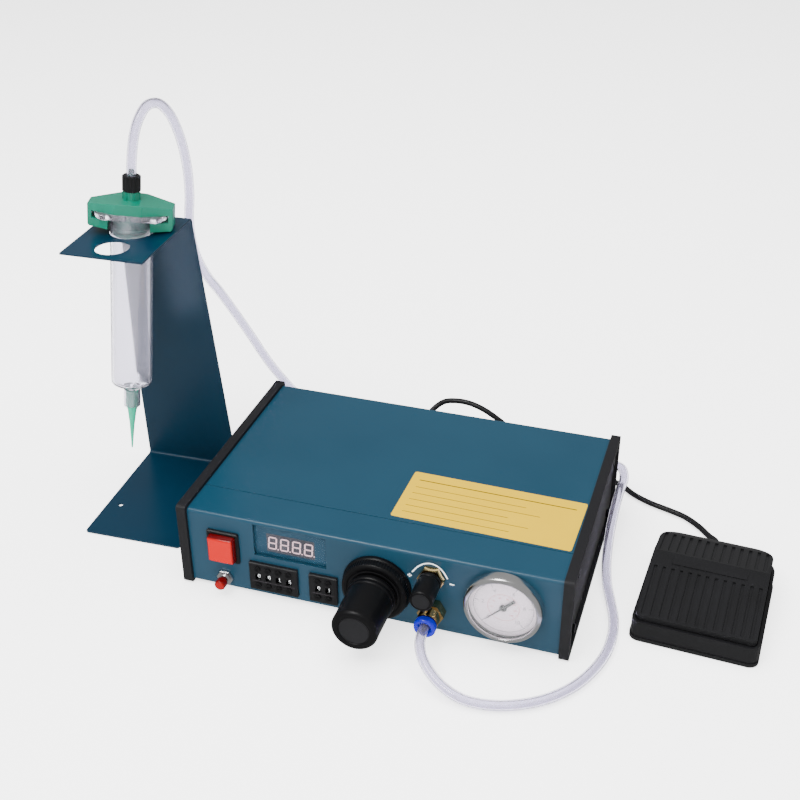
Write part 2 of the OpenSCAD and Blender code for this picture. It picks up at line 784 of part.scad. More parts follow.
module control_board() {
    digits_y = panel_y + window_t + 0.3;
    digits_drop = 1.9;
    board_left = timer_x - timer_w / 2 - 2;
    board_right = reg_x - reg_port_w / 2 - board_gap;
    color("#2f7d4f") in_controller() {
        translate([board_left, board_y, 7]) cube([board_right - board_left, board_t, z_top - 12]);
        translate([window_x - digits_w / 2, digits_y, window_z - digits_drop - digits_h / 2])
            cube([digits_w, 8, digits_h]);
        translate([window_x - digits_w / 2 + 2, digits_y + 8, window_z - 5])
            cube([digits_w - 4, board_y - digits_y - 8, 8]);
        for (x = [17, 37]) translate([board_left + x, board_y + board_t, 26]) cube([14, 3.2, 7.4]);
        for (x = [board_left + 11, board_right - 7])
            translate([x, board_y + board_t, 14]) rotate([-90, 0, 0]) cylinder(d = 8, h = 11);
    }
}

// Thumb wheel switches

module wheel_block(x, w, decades) {
    color("#1d1c1f") in_controller() translate([x, 0, digit_z]) {
        difference() {
            union() {
                translate([0, face_y, 0]) bevel_block(w, face_h, face_t, 0.5, 0.4);
                translate([0, panel_y - eps, 0]) along_y(panel_t + switch_l + eps)
                    square([w - 2, face_h - 2], center = true);
            }
            translate([0, face_y + 1.2, 0]) along_y(switch_l)
                square([w - 2 * cheek, face_h - 3.2], center = true);
            for (i = [0:decades - 1]) translate([(i - (decades - 1) / 2) * decade_w, 0, 0]) {
                translate([0, face_y - 1, 0]) along_y(3) square([decade_w * 0.55, 4.6], center = true);
                for (s = [-1, 1]) translate([0, 0, s * key_off])
                    rod_y(key_d + slide_fit, face_y - 1, face_y + 2);
            }
        }
        translate([0, wheel_y, 0]) rotate([0, 90, 0]) cylinder(d = 2, h = w - 2 * cheek + 1, center = true);
    }
}

module timer_wheel_block() wheel_block(timer_x, timer_w, timer_decades);
module mode_wheel_block() wheel_block(mode_x, mode_w, mode_decades);

module number_wheel(i) {
    color("#26262a") in_controller() translate([decade_places[i], wheel_y, digit_z]) rotate([0, 90, 0])
        difference() {
            cylinder(d = wheel_d, h = decade_w - 2, center = true);
            cylinder(d = 2 + 2 * run_fit, h = decade_w, center = true);
            for (s = [-1, 1]) translate([0, 0, s * (decade_w / 2 - 1.6)]) difference() {
                cylinder(d = wheel_d - 2.4, h = 1.4, center = true);
                cylinder(d = 4.4, h = 2, center = true);
            }
        }
}

module key_button(i, s) {
    color("#151417") in_controller() translate([decade_places[i], face_y, digit_z + s * key_off]) difference() {
        union() {
            rod_y(key_d, -key_out, key_back);
            rod_y(key_d + 0.8, key_back - 0.6, key_back);
            rod_y(1.6, key_back - eps, 6.5);
        }
        translate([0, -key_out, 0]) cube([key_d * 0.55, 0.5, 0.6], center = true);
        if (s > 0) translate([0, -key_out, 0]) cube([0.6, 0.5, key_d * 0.55], center = true);
    }
}

// Pressure regulator

module regulator_body() {
    color("#2a2a2c") in_controller() translate([reg_x, 0, reg_z]) {
        rod_y(reg_neck_d, panel_y - collar_l + 1.5, panel_in + 1);
        rod_y(reg_body_d, panel_in, panel_in + reg_body_l);
        translate([-reg_port_w / 2, panel_in + reg_port_in, 5 - reg_port_h])
            cube([reg_port_w, reg_port_l, reg_port_h]);
        rod_y(reg_spindle_d, reg_spindle_front, panel_y);
    }
}

module regulator_collar() {
    ribs = 36;
    r = collar_d / 2;
    color("#161617") in_controller() translate([reg_x, 0, reg_z]) difference() {
        turned_y() polygon([[reg_neck_d / 2 + fit, panel_y], [r, panel_y], [r, panel_y - 2.4],
            [r - 1, panel_y - 3], [r - 1.6, collar_front + 1], [r - 2.6, collar_front],
            [reg_spindle_d / 2 + 2, collar_front], [reg_spindle_d / 2 + 2, collar_front + 1.4],
            [reg_neck_d / 2 + fit, collar_front + 1.4]]);
        for (i = [0:ribs - 1]) rotate([0, i * 360 / ribs, 0]) translate([r - 0.9, panel_y - 2.6, 0])
            rotate([0, 45, 0]) cube([1.1, 2 * (collar_l - 3), 1.1], center = true);
    }
}

module regulator_knob() {
    r = reg_knob_d / 2;
    l = reg_knob_l;
    color("#141415") in_controller() translate([reg_x, reg_knob_back, reg_z])
        turned_y() polygon(concat(
            [[reg_spindle_d / 2 + run_fit, 0], [r - 0.4, 0], [r + 0.9, -1.4], [r + 0.9, -3.6], [r + 0.3, -4.2],
             [r + 0.3, -5], [r + 0.6, -5.4], [r + 0.6, -6.6], [r, -7.4]],
            arc(r - 1.6, 1.6 - l, 1.6, 0, -90, 5),
            [[r - 4.4, -l], [r - 4.8, 0.6 - l], [0, 0.6 - l], [0, 2.4 - l + l * 0.3],
             [reg_spindle_d / 2 + run_fit, 2.4 - l + l * 0.3]]));
}

// Vacuum valve

module vacuum_valve_body() {
    color("#c79a4b") in_controller() translate([vac_x, 0, vac_z]) {
        hex_y(vac_nut, panel_y - vac_nut_t, panel_y);
        rod_y(9.8, panel_y - 1, panel_in + 4);
        rod_y(vac_spindle_d, vac_knob_back - vac_knob_l * 0.55, panel_y - 1);
        translate([-8, panel_in, -8]) cube([16, 22, 16]);
    }
}

module vacuum_knob() {
    r = vac_knob_d / 2;
    l = vac_knob_l;
    bore = vac_spindle_d / 2 + run_fit;
    color("#171718") in_controller() translate([vac_x, vac_knob_back, vac_z])
        turned_y() polygon(concat([[bore, 0], [r - 0.6, 0], [r, -0.8], [r, -2.4], [r - 0.4, -2.8],
            [r - 0.4, -3.4], [r, -3.8]], arc(r - 1, 1 - l, 1, 0, -90, 5), [[0, -l], [0, -l * 0.65], [bore, -l * 0.65]]));
}

// Air outlet

module outlet_fitting() {
    color("#c79a4b") in_controller() translate([out_x, 0, out_z]) difference() {
        union() {
            hex_y(out_hex, panel_y - out_hex_t, panel_y);
            rod_y(9.8, panel_y - 1, panel_in + 8);
            rod_y(out_body_d, out_body_front, panel_y - out_hex_t + eps);
            hex_y(12, panel_in, panel_in + 3);
        }
        rod_y(3, out_body_front - 1, panel_in + 9);
        rod_y(hose_d + 2 * slide_fit, out_body_front - 1, hose_stop);
        rod_y(hose_d + 2.8, out_body_front - 1, out_body_front + 5);
    }
}

module outlet_release_ring() {
    color("#2f3bd0") in_controller() translate([out_x, 0, out_z]) difference() {
        union() {
            turned_y() polygon([[0, ring_front], [ring_d / 2 - 0.8, ring_front], [ring_d / 2, ring_front + 0.8],
                [ring_d / 2, ring_front + ring_t], [0, ring_front + ring_t]]);
            rod_y(hose_d + 2.2, ring_front + ring_t - eps, out_body_front + 3.6);
        }
        rod_y(hose_d + slide_fit + 0.2, ring_front - 1, out_body_front + 5);
        turned_y() polygon([[0, ring_front - 1], [hose_d / 2 + ring_dish + 1, ring_front - 1],
            [hose_d / 2, ring_front + ring_dish], [0, ring_front + ring_dish]]);
    }
}

// Pressure gauge

module gauge_case() {
    color("#2c2c2e") in_controller() translate([gauge_x, 0, gauge_z]) {
        difference() {
            rod_y(case_d, lens_y + lens_t, panel_in + case_l);
            rod_y(dial_d + 1.4, bezel_front, dial_y);
        }
        rod_y(1.2, pointer_y - 0.5, dial_y + eps);
        rod_y(10, panel_in + case_l - eps, panel_in + case_l + 12);
    }
}

module gauge_bezel() {
    r = bezel_d / 2;
    ri = dial_d / 2;
    color("#c8cacc") in_controller() translate([gauge_x, 0, gauge_z]) turned_y() polygon(concat(
        [[case_d / 2 + fit, panel_y], [r, panel_y]], arc(r - 2, bezel_front + 2, 2, 0, -90, 6),
        [[ri + 0.8, bezel_front], [ri, bezel_front + 0.8], [ri, lens_y], [case_d / 2 + fit, lens_y]]));
}

module gauge_lens() {
    color("#cfd8dc") in_controller() translate([gauge_x, 0, gauge_z])
        rod_y(case_d - 2 * fit, lens_y, lens_y + lens_t);
}

module gauge_pointer() {
    r = dial_d / 2;
    color("#3a3a3c") in_controller() translate([gauge_x, pointer_y, gauge_z]) rotate([0, 45, 0]) difference() {
        union() {
            rod_y(4.4, 0, 0.5);
            along_y(0.5) polygon([[-0.42, 0], [-0.16, -r * 0.74], [0.16, -r * 0.74], [0.42, 0]]);
            along_y(0.5) polygon([[-0.9, 0], [-0.9, r * 0.46], [0.9, r * 0.46], [0.9, 0]]);
        }
        rod_y(1.2 + 2 * run_fit, -1, 2);
    }
}

// Inside the case

module transformer() {
    color("#5a5a5e") in_controller() translate([mains_x - core_side, rear_in - core_back, floor_z]) {
        translate([-core_w / 2 - lug, -core_d / 2 - lug, 0])
            cube([core_w + 2 * lug, core_d + 2 * lug, sheet_t]);
        translate([-core_w / 2, -core_d / 2, sheet_t]) difference() {
            cube([core_w, core_d, core_h]);
            for (x = [0.2, 0.8] * core_w) translate([x, -1, 10]) rotate([-90, 0, 0])
                cylinder(d = screw_d, h = core_d + 2);
        }
        for (s = [-1, 1])
            translate([-coil_w / 2, s * (core_d + coil_t) / 2 - coil_t / 2, (core_h - coil_h) / 2 + 1]) cube([coil_w, coil_t + eps, coil_h]);
    }
}

module solenoid_valve() {
    color("#8a8c90") in_controller() translate([inlet_x + 2, rear_in - valve_back, floor_z]) {
        cube([manifold_w, manifold_d, manifold_h]);
        translate([pilot_in, (manifold_d - pilot) / 2, manifold_h]) cube([pilot, pilot, pilot_h]);
        translate([manifold_w - port_in, manifold_d / 2, manifold_h]) {
            cylinder(d = pilot / 2, h = pilot / 2);
            translate([0, 0, pilot / 2 - eps]) cylinder(d = hose_d, h = port_l);
        }
    }
}

// Rear connections

module mains_inlet() {
    w = mains_w - 4;
    h = mains_h - 4;
    color("#1c1c1e") in_controller() translate([mains_x, 0, rear_z]) {
        difference() {
            union() {
                translate([0, rear_out, 0]) along_y(mains_t) round_rect(mains_w, mains_h, 2);
                translate([0, rear_out - 17, 0]) along_y(17 + eps) round_rect(w - 2 * fit, h - 2 * fit, 1);
                for (s = [-1, 1]) translate([s * (w / 2 - 1), rear_in - 6, 0]) cube([4, 6, 8], center = true);
            }
            translate([0, rear_out - 14, 0]) along_y(20)
                polygon([[-12, -8], [12, -8], [12, 4], [8, 8], [-8, 8], [-12, 4]]);
        }
        for (p = [[-7, -2], [7, -2], [0, 2.4]]) translate([p[0] - 1, rear_out - 14 - eps, p[1] - 2])
            cube([2, 12, 4]);
    }
}

module air_inlet_fitting() {
    color("#c79a4b") in_controller() translate([inlet_x, 0, rear_z]) difference() {
        union() {
            rod_y(12, rear_in - 12, rear_out + 1);
            hex_y(16, rear_out, rear_out + 5);
            hex_y(16, rear_in - 4, rear_in);
            rod_y(14, rear_out + 5 - eps, rear_out + 16);
        }
        rod_y(inlet_bore, rear_out + 4, rear_out + 17);
        rod_y(4, rear_in - 13, rear_out + 5);
    }
}

module pedal_socket() {
    color("#b9bbbe") in_controller() translate([socket_x, 0, rear_z]) difference() {
        union() {
            rod_y(plug_d - 3, rear_in - 10, rear_out + 10);
            rod_y(plug_d, rear_out, rear_out + 2);
            hex_y(plug_d, rear_in - 2.4, rear_in);
        }
        rod_y(plug_d - 5.4, rear_out + 3, rear_out + 11);
    }
}

module pedal_plug() {
    ribs = 20;
    r = plug_d / 2;
    color("#b9bbbe") in_controller() translate([socket_x, 0, rear_z]) difference() {
        union() {
            turned_y() polygon([[r - 1.5 + fit, plug_front], [r - 0.4, plug_front], [r, plug_front + 0.4],
                [r, plug_front + 9], [r - 1.4, plug_front + 10], [r - 2, plug_end_y], [0, plug_end_y],
                [0, plug_front + 8], [r - 1.5 + fit, plug_front + 8]]);
            turned_y() polygon([[0, plug_end_y - eps], [4.2, plug_end_y - eps], [cable_d / 2 + 0.7, boot_end],
                [0, boot_end]]);
        }
        for (i = [0:ribs - 1]) rotate([0, i * 360 / ribs, 0]) translate([r + 0.1, plug_front + 5, 0])
            rotate([0, 45, 0]) cube([0.6, 6, 0.6], center = true);
    }
}

// Stand: one sheet, folded at the foot and at the top

module stand_sheet() {
    color("#1c4560") in_stand() difference() {
        intersection() {
            along_x(base_w) polygon(concat([[-base_l, 0]], bends(bend_r + stand_t),
                [[-stand_lean - plate_l, plate_z], [-stand_lean - plate_l, plate_z - stand_t]],
                turn_back(bends(bend_r)), [[-base_l, stand_t]]));
            rotate([90, 0, 0]) linear_extrude(2 * base_l + 10, center = true)
                polygon([[-base_w / 2, -1], [base_w / 2, -1], [base_w / 2, 6], [plate_w / 2, stand_h - 6],
                    [plate_w / 2, stand_h + 3], [-plate_w / 2, stand_h + 3], [-plate_w / 2, stand_h - 6],
                    [-base_w / 2, 6]]);
            linear_extrude(stand_h + 10) round_rect(base_w, 2 * base_l, 2);
        }
        translate([0, -stand_lean - hole_in, stand_h - 5]) cylinder(d = hole_d, h = 10);
        translate([0, -stand_lean - spare_in, stand_h - 5]) cylinder(d = spare_d, h = 10);
        for (s = [-1, 1])
            translate([s * foot_hole_span / 2, -foot_hole_in, -1]) cylinder(d = foot_hole_d, h = 4);
    }
}

// Syringe

module syringe_barrel() {
    color("#e6e6ea") in_syringe() difference() {
        union() {
            rotate_extrude() polygon([[0, flange_top], [barrel_r, flange_top], [barrel_r, shoulder_z],
                [luer_d / 2, collar_z], [luer_d / 2, luer_end], [0, luer_end]]);
            translate([0, 0, flange_top - ear_t]) linear_extrude(ear_t) intersection() {
                circle(d = ear_span);
                square([ear_span + 2, ear_w], center = true);
            }
        }
        rotate_extrude() polygon([[0, flange_top + 1], [bore_r, flange_top + 1], [bore_r, shoulder_z],
            [1.1, collar_z + 1], [1.1, luer_end - 1], [0, luer_end - 1]]);
        rotate_extrude() polygon([[spigot_r, luer_end - 1], [hub_r + 0.15, luer_end - 1],
            [hub_r + 0.15, tip_top], [spigot_r, tip_top]]);
        translate([0, 0, luer_end - 1]) cylinder(r = hub_r, h = 2.4);
    }
}

module dispensing_tip() {
    color("#46c8a4") in_syringe() rotate_extrude() polygon([[spigot_r + fit, tip_top], [hub_r, tip_top],
        [hub_r, luer_end + 2], [hub_r - 0.8, luer_end], [0.45, tip_end], [0.2, tip_end],
        [0.6, luer_end - 6], [spigot_r + fit, luer_end - 0.5]]);
}

// Barrel adapter: a gabled bar with two hooks that hold the flange's ears, a plug with its seal, and a stem
module syringe_adapter() {
    m = wing_mid / 2;
    e = wing_end / 2;
    f = wing_flat / 2;
    g = ridge_w / 2;
    color("#3fae8a") in_syringe() {
        difference() {
            union() {
                intersection() {
                    translate([0, 0, hook_z]) linear_extrude(40) polygon([[-hook_half, -e], [-f, -m], [f, -m],
                        [hook_half, -e], [hook_half, e], [f, m], [-f, m], [-hook_half, e]]);
                    translate([0, -50, 0]) along_y(100) polygon([[-hook_half, hook_z + hook_bevel],
                        [-hook_foot, hook_z], [hook_foot, hook_z], [hook_half, hook_z + hook_bevel],
                        [hook_half, wing_top], [g, wing_top + gable], [-g, wing_top + gable],
                        [-hook_half, wing_top]]);
                }
                translate([0, 0, wing_top]) cylinder(d = stem_d, h = stem_h);
                for (a = [0:60:300]) rotate(a) translate([stem_d / 2 - 0.4, -stem_rib / 2, wing_top])
                    cube([1, stem_rib, stem_h - 0.6]);
                translate([0, 0, stem_top - eps]) cylinder(d = hose_d - 0.8, h = barb_top - stem_top + eps);
            }
            // Slots for the ears, and the round space for the barrel between the lips
            translate([-hook_half + slot_end, -wing_mid, hook_z + lip_t])
                cube([wing_l - 2 * slot_end, 2 * wing_mid, slot_h]);
            translate([0, 0, hook_z - 1]) cylinder(r = barrel_r + barrel_room, h = lip_t + 1 + eps);
            translate([-mouth / 2, -wing_mid, hook_z - 1]) cube([mouth, 2 * wing_mid, lip_t + 1 + eps]);
            cylinder(d = stem_bore, h = 60);
        }
        difference() {
            translate([0, 0, plug_end]) cylinder(r = plug_r, h = band_z - plug_end + eps);
            translate([0, 0, seal_z]) rotate_extrude()
                translate([seal_ring - seal_r - run_fit, -seal_r - run_fit]) square([3 * seal_r, 2 * (seal_r + run_fit)]);
            translate([0, 0, plug_end - 1]) cylinder(d = stem_bore, h = 40);
        }
        translate([0, 0, seal_z]) rotate_extrude() translate([seal_ring, 0]) circle(r = seal_r, $fn = 24);
    }
}

module hose_nut() {
    ribs = 14;
    color("#19191a") in_syringe() difference() {
        translate([0, 0, stem_top]) cylinder(d = nut_d, h = nut_l);
        translate([0, 0, stem_top - 1]) cylinder(d = hose_d + slide_fit, h = nut_l + 2);
        for (i = [0:ribs - 1]) rotate(i * 360 / ribs) translate([nut_d / 2, 0, stem_top + nut_l / 2])
            cube([1, 1.1, nut_l - 1.4], center = true);
    }
}

// Syringe axis in the controller's frame, for the end of the hose
function turn_x(v, a) = [v[0], v[1] * cos(a) - v[2] * sin(a), v[1] * sin(a) + v[2] * cos(a)];
function turn_y(v, a) = [v[0] * cos(a) + v[2] * sin(a), v[1], -v[0] * sin(a) + v[2] * cos(a)];
function turn_z(v, a) = [v[0] * cos(a) - v[1] * sin(a), v[0] * sin(a) + v[1] * cos(a), v[2]];
function on_syringe(z) = let (s = turn_y(turn_x([0, 0, z], -lean_front), lean_left))
    turn_z(s + [-syringe_shift, -stand_lean - hole_in, plate_z], stand_yaw)
    + [stand_x - controller_x, stand_y - controller_y, 0];

module air_hose() {
    route = concat([hose_start, hose_lead], hose_points, [on_syringe(nut_top + 6), on_syringe(barb_top)]);
    color("#dcdce6") in_controller() tube(route, hose_d, [0, 0, 1], 10);
}

// Foot switch

module pedal_outline(grow) {
    w = pedal_w / 2 + grow;
    r = pedal_round + grow;
    q = 6 + grow;
    polygon(concat(arc(w - r, pedal_d + grow - r, r, 0, 90), arc(r - w, pedal_d + grow - r, r, 90, 180),
        arc(q - w, q - grow, q, 180, 270, 5), arc(w - q, q - grow, q, 270, 360, 5)));
}

module pedal_base() {
    color("#1e1e20") in_pedal() {
        difference() {
            union() {
                linear_extrude(2.4) pedal_outline(0);
                linear_extrude(pedal_rim) pedal_outline(-base_set);
                translate([0, pedal_d - 2, cable_z]) turned_y() polygon([[0, 0], [4, 0], [4, 3],
                    [cable_d / 2 + 0.8, relief_l + 2], [0, relief_l + 2]]);
            }
            translate([0, 0, floor_t]) linear_extrude(pedal_rim) pedal_outline(-base_set - pedal_wall);
            translate([0, pedal_d - 10, cable_z]) rod_y(cable_d + 0.4, 0, 9);
        }
        for (s = [-1, 1]) translate([s * (hinge_x + ear_half + post_gap + post_t / 2) - post_t / 2,
            pivot_y - post_half, floor_t - eps]) cube([post_t, 2 * post_half, pivot_z - floor_t + pin_d]);
        translate([0, pivot_y, pivot_z]) rotate([0, 90, 0])
            cylinder(d = pin_d, h = 2 * (hinge_x + ear_half + post_gap + post_t - 0.5), center = true);
        translate([0, spring_y, floor_t - eps]) cylinder(d = 5, h = 3);
    }
}

// Side view (Y, Z) of the treadle, a roof with its ridge towards the back; its inside is "wall" deeper
function tread_side(wall) = [[tread_set + wall, skirt_z - wall], [tread_set + wall, tread_front - wall],
    [ridge_in, tread_ridge - wall], [strip_end, tread_back + 2 - wall],
    [pedal_d - tread_set - wall, tread_back - wall], [pedal_d - tread_set - wall, skirt_z - wall]];

module pedal_treadle() {
    color("#242427") in_pedal() difference() {
        union() {
            difference() {
                intersection() {
                    along_x(pedal_w) polygon(tread_side(0));
                    linear_extrude(60) pedal_outline(-tread_set);
                }
                intersection() {
                    along_x(pedal_w) polygon(tread_side(pedal_wall));
                    linear_extrude(60) pedal_outline(-tread_set - pedal_wall);
                }
            }
            for (s = [-1, 1]) translate([s * hinge_x, pivot_y, pivot_z]) {
                translate([-ear_half, -4.5, 0]) cube([2 * ear_half, 9, tread_back - pivot_z - 0.6]);
                rotate([0, 90, 0]) cylinder(d = 9, h = 2 * ear_half, center = true);
            }
            translate([0, tread_set, tread_front]) rotate([tread_slope, 0, 0]) {
                translate([-22, tread_run - 8, -1]) cube([44, 6.4, 1.5]);
                translate([-5, 22, -4.4]) cube([10, 12, 3]);
            }
        }
        translate([0, pivot_y, pivot_z]) rotate([0, 90, 0])
            cylinder(d = pin_d + 2 * run_fit, h = 80, center = true);
        for (i = [0:grooves - 1]) translate([(i - (grooves - 1) / 2) * groove_pitch, 0, 0]) {
            translate([0, tread_set, tread_front]) rotate([tread_slope, 0, 0])
                translate([-groove_w / 2, 1.6, -0.9]) cube([groove_w, tread_run - 13, 3]);
            translate([0, ridge_in, tread_ridge]) rotate([-strip_slope, 0, 0])
                translate([-groove_w / 2, 1.6, -0.9]) cube([groove_w, strip_end - ridge_in - 2, 3]);
        }
    }
}

module pedal_switch() {
    color("#3a3a3e") in_pedal() {
        translate([-10, 27, floor_t]) cube([20, 6.4, 10.4]);
        translate([-1.5, 29, floor_t + 10.4 - eps]) cube([3, 2.4, 1.4]);
    }
}

module pedal_spring() {
    turns = 5;
    z0 = floor_t + 0.4;
    z1 = tread_front + (spring_y - tread_set) * tan(tread_slope) - pedal_wall - 1;
    path = [for (i = [0:turns * 12]) [3.6 * cos(i * 30), spring_y + 3.6 * sin(i * 30),
        z0 + (z1 - z0) * i / (turns * 12)]];
    color("#b0b2b5") in_pedal() tube(path, 0.8, [0, 0, 1], 6);
}

module pedal_cord() {
    pedal_at = [body_w / 2 + pedal_gap + pedal_w / 2, pedal_back, 0];
    far = turn_z([0, pedal_d + relief_l, cable_z], pedal_yaw) + pedal_at;
    route = concat([[socket_x, boot_end, rear_z]], cable_points, [far]);
    color("#1b1b1d") in_controller() tube(route, cable_d, [0, 0, 1], 8);
}

side_frame_left();
side_frame_right();
side_screws();
top_cover();
front_panel();
chassis();
power_button_housing();
power_button_cap();
shot_button_bush();
shot_button_cap();
display_window();
control_board();
timer_wheel_block();
mode_wheel_block();
for (i = [0:5]) {
    number_wheel(i);
    key_button(i, 1);
    key_button(i, -1);
}
regulator_body();
regulator_collar();
regulator_knob();
vacuum_valve_body();
vacuum_knob();
outlet_fitting();
outlet_release_ring();
gauge_case();
gauge_bezel();
gauge_lens();
gauge_pointer();
transformer();
solenoid_valve();
mains_inlet();
air_inlet_fitting();
pedal_socket();
pedal_plug();
stand_sheet();
syringe_barrel();
syringe_adapter();
hose_nut();
dispensing_tip();
air_hose();
pedal_base();
pedal_treadle();
pedal_switch();
pedal_spring();
pedal_cord();
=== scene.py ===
import math

import bmesh
import bpy
from mathutils import Matrix, Vector


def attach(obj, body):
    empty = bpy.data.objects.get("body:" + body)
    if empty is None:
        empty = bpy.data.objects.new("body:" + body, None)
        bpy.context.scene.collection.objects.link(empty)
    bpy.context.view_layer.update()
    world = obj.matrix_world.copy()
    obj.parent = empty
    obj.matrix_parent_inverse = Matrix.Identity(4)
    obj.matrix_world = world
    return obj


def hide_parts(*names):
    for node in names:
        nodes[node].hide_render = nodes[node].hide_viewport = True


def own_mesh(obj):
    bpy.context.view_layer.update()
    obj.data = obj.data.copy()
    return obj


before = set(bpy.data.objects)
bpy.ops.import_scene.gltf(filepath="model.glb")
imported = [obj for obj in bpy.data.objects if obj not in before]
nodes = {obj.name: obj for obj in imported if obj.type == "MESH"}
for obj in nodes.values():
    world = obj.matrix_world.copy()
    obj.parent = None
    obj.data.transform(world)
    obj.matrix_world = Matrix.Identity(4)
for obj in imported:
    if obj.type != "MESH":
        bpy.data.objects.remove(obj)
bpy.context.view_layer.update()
print("frame loaded:", len(nodes), "nodes")

# all lengths below are millimetres, and addPiece turns them to metres
layout = {
    "controller": (-9.9, -64.7),        # middle of the case's front edge
    "stand": (-183.6, 60.6), "standTurn": 2.0,
    "pedal": (175.6, -36.7), "pedalTurn": -3.2,
    "syringeHang": (-0.8, -47.7, 195.2), "syringeLean": (-6.0, 4.0), "syringeTurn": 17.0,
}


def turn(degrees, axis):
    return Matrix.Rotation(math.radians(degrees), 4, axis)


unmoved = Matrix.Identity(4)
inController = Matrix.Translation((*layout["controller"], 0))
inStand = Matrix.Translation((*layout["stand"], 0)) @ turn(layout["standTurn"], "Z")
inPedal = Matrix.Translation((*layout["pedal"], 0)) @ turn(layout["pedalTurn"], "Z")
inSyringe = (inStand @ Matrix.Translation(layout["syringeHang"]) @ turn(layout["syringeLean"][1], "Y")
             @ turn(layout["syringeLean"][0], "X") @ turn(layout["syringeTurn"], "Z"))


# a turned part on the front panel: its own +Z runs to the back
def onPanel(x, z):
    return inController @ Matrix.Translation((x, 0, z)) @ turn(-90, "X")


# a print or a flat part on the front panel: its own +Y goes up and its +Z comes out of the panel
def facingOut(x=0, z=0):
    return inController @ Matrix.Translation((x, 0, z)) @ turn(90, "X")


# camera, solved from the corners of the case in the photograph
cameraView = {"place": (0.1808, -0.5952, 0.4912), "azimuth": 17.8, "elevation": 31.06, "roll": -0.18,
              "lens": 55.95, "sensor": 36, "near": 0.01}


def makeCamera(view):
    azimuth, elevation, roll = (math.radians(view[key]) for key in ("azimuth", "elevation", "roll"))
    back = Vector((math.sin(azimuth) * math.cos(elevation), -math.cos(azimuth) * math.cos(elevation),
                   math.sin(elevation)))
    right = (-back).cross(Vector((0, 0, 1))).normalized()
    up = right.cross(-back)
    across = math.cos(roll) * right + math.sin(roll) * up
    upright = math.cos(roll) * up - math.sin(roll) * right
    camera = bpy.data.objects.new("camera", bpy.data.cameras.new("camera"))
    camera.data.lens = view["lens"]
    camera.data.sensor_width = view["sensor"]
    camera.data.clip_start = view["near"]
    facing = Matrix((across, upright, back)).transposed().to_4x4()
    camera.matrix_world = Matrix.Translation(view["place"]) @ facing
    bpy.context.scene.collection.objects.link(camera)
    bpy.context.scene.camera = camera


makeCamera(cameraView)
print("camera placed")


def toLinear(hexColour):
    channels = [int(hexColour[i:i + 2], 16) / 255 for i in (1, 3, 5)]
    return [c / 12.92 if c <= 0.04045 else ((c + 0.055) / 1.055) ** 2.4 for c in channels] + [1]


# one node with its settings and links: words name an input or a property, numbers an input's place
def addNode(tree, kind, settings=None, links=None):
    node = tree.nodes.new("ShaderNode" + kind)
    for key, value in (settings or {}).items():
        if key == "stops":
            elements = node.color_ramp.elements
            while len(elements) < len(value):
                elements.new(0.5)
            for element, (place, colour) in zip(elements, value):
                element.position, element.color = place, colour
        elif isinstance(key, int) or key in node.inputs:
            node.inputs[key].default_value = value
        else:
            setattr(node, key, value)
    for key, source in (links or {}).items():
        tree.links.new(source, node.inputs[key])
    return node


def startMaterial(name):
    material = bpy.data.materials.new(name)
    material.use_nodes = True
    material.node_tree.nodes.clear()
    return material, material.node_tree


def endMaterial(tree, settings, links):
    shader = addNode(tree, "BsdfPrincipled", settings, links)
    addNode(tree, "OutputMaterial", {}, {"Surface": shader.outputs[0]})


# grain that follows the piece: sizes in millimetres, stretched where the tool ran along
def grain(tree, size, stretch=(1, 1, 1), detail=3.0):
    place = addNode(tree, "TexCoord")
    scaled = addNode(tree, "Mapping", {"Scale": stretch}, {"Vector": place.outputs["Object"]})
    return addNode(tree, "TexNoise", {"Scale": 1000 / size, "Detail": detail, "Roughness": 0.55},
                   {"Vector": scaled.outputs[0]})


# relief of a noise, its depth in millimetres
def bump(tree, noise, depth, strength):
    relief = addNode(tree, "Bump", {"Distance": depth / 1000, "Strength": strength},
                     {"Height": noise.outputs["Fac"]})
    return relief.outputs[0]


# colour that drifts between two tones with a noise
def drift(tree, noise, dark, light):
    ramp = addNode(tree, "ValToRGB", {"stops": [(0.0, toLinear(dark)), (1.0, toLinear(light))]},
                   {"Fac": noise.outputs["Fac"]})
    return ramp.outputs["Color"]


# number that drifts between two values with a noise
def levels(tree, noise, low, high):
    spread = addNode(tree, "MapRange", {"To Min": low, "To Max": high}, {"Value": noise.outputs["Fac"]})
    return spread.outputs["Result"]


# the stand has the same blue paint as the case; its darker colours under "stand" are painted shade for the
# less lit upright sheet
coatValues = {"case": ("#102d3d", "#143343"), "stand": ("#031d2d", "#042334"), "peel": 0.9, "cloud": 60,
              "roughness": (0.26, 0.34), "gloss": 0.4}


# powder coat on sheet steel: an even satin film with a fine orange peel that breaks the highlights
def powderCoatedSteel(name, deep, light):
    material, tree = startMaterial(name)
    peel = grain(tree, coatValues["peel"], detail=2)
    cloud = grain(tree, coatValues["cloud"], detail=2)
    endMaterial(tree, {"IOR": 1.5, "Specular IOR Level": coatValues["gloss"]},
                {"Base Color": drift(tree, cloud, deep, light), "Normal": bump(tree, peel, 0.03, 0.5),
                 "Roughness": levels(tree, cloud, *coatValues["roughness"])})
    return material


# black powder coat, finely textured: dark with a soft grey sheen
def texturedBlackCoat():
    material, tree = startMaterial("texturedBlackCoat")
    fine = grain(tree, 0.5, detail=3)
    cloud = grain(tree, 40, detail=2)
    colour = drift(tree, cloud, "#101012", "#161618")
    endMaterial(tree, {"IOR": 1.5, "Specular IOR Level": 0.35},
                {"Base Color": colour, "Normal": bump(tree, fine, 0.05, 0.6),
                 "Roughness": levels(tree, fine, 0.48, 0.62)})
    return material


